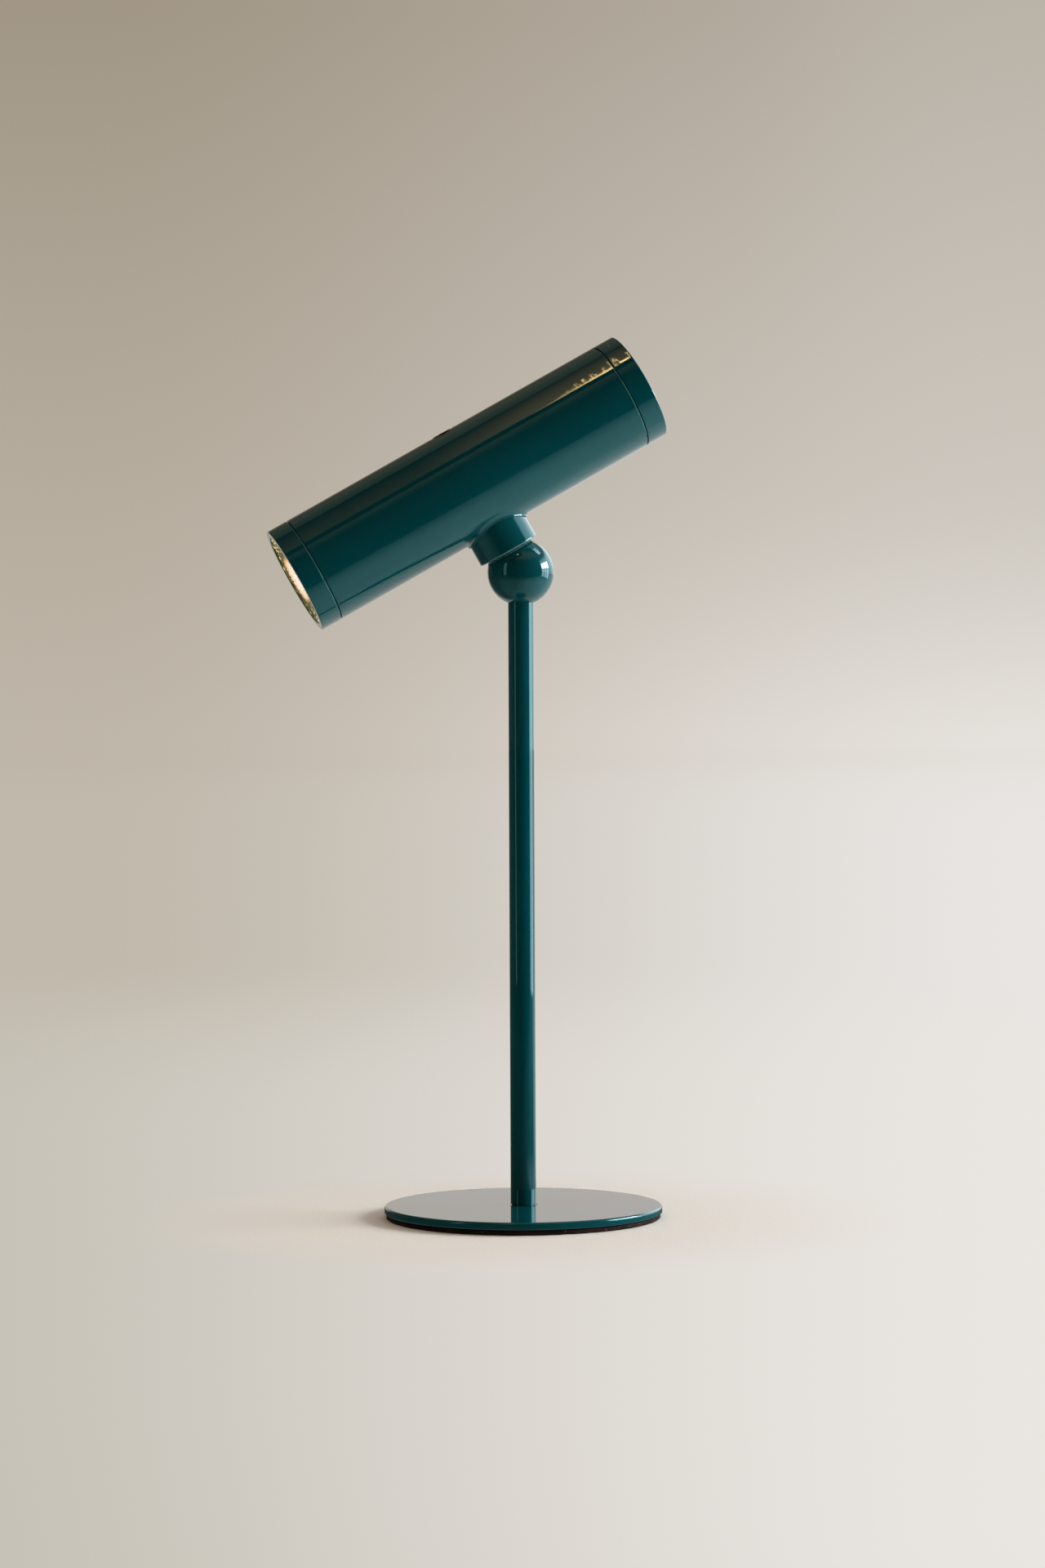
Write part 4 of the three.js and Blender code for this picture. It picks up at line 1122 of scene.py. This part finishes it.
def soft_daylight(n, x, y):
    """What lights matte surfaces: cool from the right, dim and warm from the left and front."""
    share = n.times(n.eased(x, -0.9, 0.9, 0.24, 1.0), n.eased(y, -0.8, 0.2, 0.22, 1.0))
    tone = n.mixed(n.eased(x, -0.8, 0.5), (1.0, 0.84, 0.60), (0.96, 0.99, 1.0))
    return n.sky(tone, share)


def surround():
    """The world: a backdrop for the camera, a mirrored room for gloss and soft light for the rest."""
    world = bpy.data.worlds.new("world")
    bpy.context.scene.world = world
    n = Nodes(world)
    n.tree.nodes.clear()
    x, y, z = n.split(n.add("ShaderNodeTexCoord").outputs["Generated"])
    spread, _ = spread_of(n, x, y)
    # Painted light: the backdrop is bright and pale at the right by the window, dim and beige at the left
    tone = n.mixed(spread, *WALL)
    mirrored = mirrored_room(n, spread, tone, x, y, z)
    path = n.add("ShaderNodeLightPath")
    lit = n.mix_shaders(path.outputs["Is Glossy Ray"], soft_daylight(n, x, y), mirrored)
    lit = n.mix_shaders(path.outputs["Is Transmission Ray"], lit, mirrored)
    seen = n.mix_shaders(path.outputs["Is Camera Ray"], lit, backdrop(n, spread, tone, z))
    n.link(seen, n.add("ShaderNodeOutputWorld").inputs["Surface"])


surround()


def floor_sheen(n, x, y, reach):
    """How strongly the floor glows in gloss: by the place in front of the lamp, beside it and behind it."""
    facing = n.add("ShaderNodeLayerWeight").outputs["Facing"]
    beside = n.times(n.eased(x, 0.05, 0.12), n.eased(reach, 0.15, 0.30, 1.0, 0.0))
    front = n.times(
        n.eased(y, -0.70, -0.20, 0.34, 0.80),
        n.eased(x, -0.18, 0.22, 0.45, 1.0),
        n.math("MAXIMUM", n.eased(facing, 0.45, 0.88, 1.0, 0.18), beside),
        n.eased(y, -0.725, -0.70, 0.02, 1.0),
        n.eased(x, 0.25, 1.0, 1.0, 1.9),
        n.eased(y, 0.0, 0.16, 1.0, 0.0),
    )
    bearing = n.math("ARCTAN2", x, y)
    rear = n.times(n.eased(y, 0.0, 0.16), n.eased(bearing, -0.55, -0.22, 0.12, 1.0), 1.05)
    return n.plus(front, rear)


def floor_material():
    """Matte paper by the lamp, which gives way farther out to the backdrop's tones, with their painted light
    from the window.
    """
    n = Look("floor")
    x, y, _ = n.split(n.place)
    spread, wide = spread_of(n, x, y, camera_place[:2])
    reach = n.vector("LENGTH", n.place)
    # Painted light: the far floor takes the backdrop's bright right and dim left
    tone = n.mixed(n.eased(reach, 0.4, 1.9), n.mixed(wide, *FLOOR), n.mixed(spread, *NEAR_WALL))
    horizon = n.mixed(n.times(spread, 0.126), n.mixed(spread, *WALL), HORIZON, "MULTIPLY")
    tone = n.mixed(n.eased(reach, 5.0, 25.0), tone, horizon)
    grain = n.eased(n.noise(700, 4), 0.3, 0.7)
    matte = n.add("ShaderNodeBsdfDiffuse")
    n.feed(matte.inputs["Color"], n.mixed(grain, (0.70, 0.640, 0.590), (0.75, 0.690, 0.640)))
    matte = matte.outputs[0]
    seen = n.mix_shaders(n.eased(reach, 0.068, 0.19), matte, n.glow(tone, 1.0))
    sheen = n.glow(tone, floor_sheen(n, x, y, reach))
    path = n.add("ShaderNodeLightPath")
    kinds = n.mix_shaders(path.outputs["Is Glossy Ray"], matte, sheen)
    return n.set_surface(n.mix_shaders(path.outputs["Is Camera Ray"], kinds, seen))


def add_floor():
    """A disc of floor, far wider than the view."""
    bm = bmesh.new()
    bmesh.ops.create_circle(bm, cap_ends=True, segments=128, radius=FLOOR_RADIUS)
    mesh = bare_mesh(bm, "floor")
    mesh.materials.append(floor_material())
    floor = bpy.data.objects.new("floor", mesh)
    bpy.context.scene.collection.objects.link(floor)


add_floor()


def window(name, place, width, height, radiance, colour, gloss=True, light=True):
    """A window that faces the lamp."""
    data = bpy.data.lights.new(name, "AREA")
    data.shape = "RECTANGLE"
    data.size, data.size_y = width, height
    data.energy = radiance * pi * width * height
    data.color = colour
    obj = bpy.data.objects.new(name, data)
    obj.location = place
    obj.rotation_euler = (Vector((0, 0, 0.3)) - Vector(place)).to_track_quat("-Z", "Y").to_euler()
    obj.visible_camera, obj.visible_glossy, obj.visible_diffuse = False, gloss, light
    bpy.context.scene.collection.objects.link(obj)
    return obj


window("window", (1.37, -0.12, 0.62), 0.92, 0.46, 21.5, (0.94, 0.98, 1.0), gloss=False)
window("window_low", (1.40, -0.12, 0.33), 0.92, 0.16, 8.0, (0.94, 0.98, 1.0), gloss=False)
for i in range(3):
    across = -0.36 + 0.30 * i
    window("pane_%d" % i, (1.37, across, 0.66), 0.24, 0.34, 24.0, (1.0, 0.78, 0.80), light=False)
    window("pane_low_%d" % i, (1.40, across, 0.22), 0.24, 0.44, 3.7, (1.0, 0.92, 0.94), light=False)
bounce = window("bounce", (-0.25, -0.05, 0.285), 0.20, 0.14, 1.9, (1.0, 0.74, 0.56), gloss=False)
bounce.rotation_euler = (0, 0, 0)
window("doorway", (-1.34, -0.66, 0.45), 0.26, 1.1, 0.75, (1.0, 0.90, 0.86), light=False)

# The lit far wall of the room: part of a drum of 1 m radius round the head's axis, seen only in gloss

CARD_START, CARD_LENGTH, CARD_COLUMNS = -0.25, 0.75, 30
CARD_LOW, CARD_TURN, CARD_ROWS = radians(50), radians(54), 12
FOLD_START, FOLD_END = 0.2742, 0.2769
SHARP = 0.0002


def streak(n, along, turn):
    """The bright line that the tube mirrors. It folds up on the rear cap and has two gaps."""

    def band(low, high):
        return n.times(n.ranged(along, low, low + SHARP), n.ranged(along, high, high + SHARP, 1.0, 0.0))

    folded = n.ranged(along, FOLD_START, FOLD_START + 0.0001)
    tick = band(0.2852, 0.2861)
    fold = n.times(folded, n.ranged(along, FOLD_START + 0.0002, FOLD_END, 0.34, 0.03))
    fold = n.plus(fold, n.times(tick, 0.08))
    above = n.math("SUBTRACT", turn, n.plus(fold, radians(58.5)))
    toothed = n.times(n.ranged(along, 0.215, 0.25), n.ranged(along, 0.266, 0.2685, 1.0, 0.0))
    teeth = n.times(n.ranged(n.noise(430, 2, (1, 0, 0)), 0.50, 0.70, 0.0, 0.32), toothed)
    slope = n.times(folded, n.ranged(along, FOLD_END, FOLD_END + 0.0007, 0.015, 0.0))
    bars = n.times(n.plus(band(0.2732, 0.2738), band(0.2697, 0.2703)), 0.34)
    bars = n.plus(bars, n.times(tick, 0.16))
    thick = n.plus(n.ranged(along, 0.20, 0.272, 0.010, 0.075), slope, n.plus(teeth, bars))
    below_top = n.ranged(n.math("SUBTRACT", above, thick), -0.015, 0.015, 1.0, 0.0)
    brightness = n.times(n.ranged(along, 0.200, 0.268, 0.0, 24.0), n.ranged(along, 0.290, 0.296, 1.0, 0.0))
    gaps = n.plus(band(0.2708, 0.2731), band(0.2842, 0.2850))
    uneven = n.ranged(n.noise(160, 2, (1, 0.1, 0.1)), 0.3, 0.6, 0.35, 1.15)
    whole = n.math("SUBTRACT", 1.0, gaps)
    return n.times(n.ranged(above, 0.0, 0.008), below_top, brightness, whole, uneven)


def haze(n, along, turn):
    """The soft light above the streak, which fades upwards."""
    fading = n.ranged(turn, radians(60), radians(100), 1.0, 0.1)
    up = n.times(n.ranged(turn, radians(58), radians(61)), fading)
    reach = n.times(n.ranged(along, 0.115, 0.20, 0.35, 1.1), n.ranged(along, 0.18, 0.28, 1.0, 1.3))
    return n.times(up, n.times(reach, n.ranged(along, 0.296, 0.31, 1.0, 0.0)))


def glow_card():
    """The drum's part, with the streak and the haze on it."""
    bm = bmesh.new()
    grid = []
    for i in range(CARD_COLUMNS + 1):
        x = CARD_START + CARD_LENGTH * i / CARD_COLUMNS
        turns = [CARD_LOW + CARD_TURN * k / CARD_ROWS for k in range(CARD_ROWS + 1)]
        grid.append([bm.verts.new((x, -cos(turn), sin(turn))) for turn in turns])
    for a, b in neighbours(grid, False):
        for k in range(CARD_ROWS):
            bm.faces.new((a[k], b[k], b[k + 1], a[k + 1]))
    mesh = bare_mesh(bm, "glow_card")
    card = bpy.data.objects.new("glow_card", mesh)
    card.matrix_world = Matrix.Translation((MM @ HEAD).translation) @ HEAD.to_3x3().to_4x4()
    bpy.context.scene.collection.objects.link(card)
    n = Look("glow_card")
    along, y, z = n.split(n.place)
    turn = n.math("ARCTAN2", z, n.times(y, -1.0))
    strength = n.plus(streak(n, along, turn), haze(n, along, turn))
    mesh.materials.append(n.set_surface(n.glow((1.0, 0.36, 0.13), strength)))
    card.visible_camera = card.visible_diffuse = card.visible_shadow = card.visible_transmission = False


glow_card()

bpy.context.scene.view_settings.view_transform = "Standard"
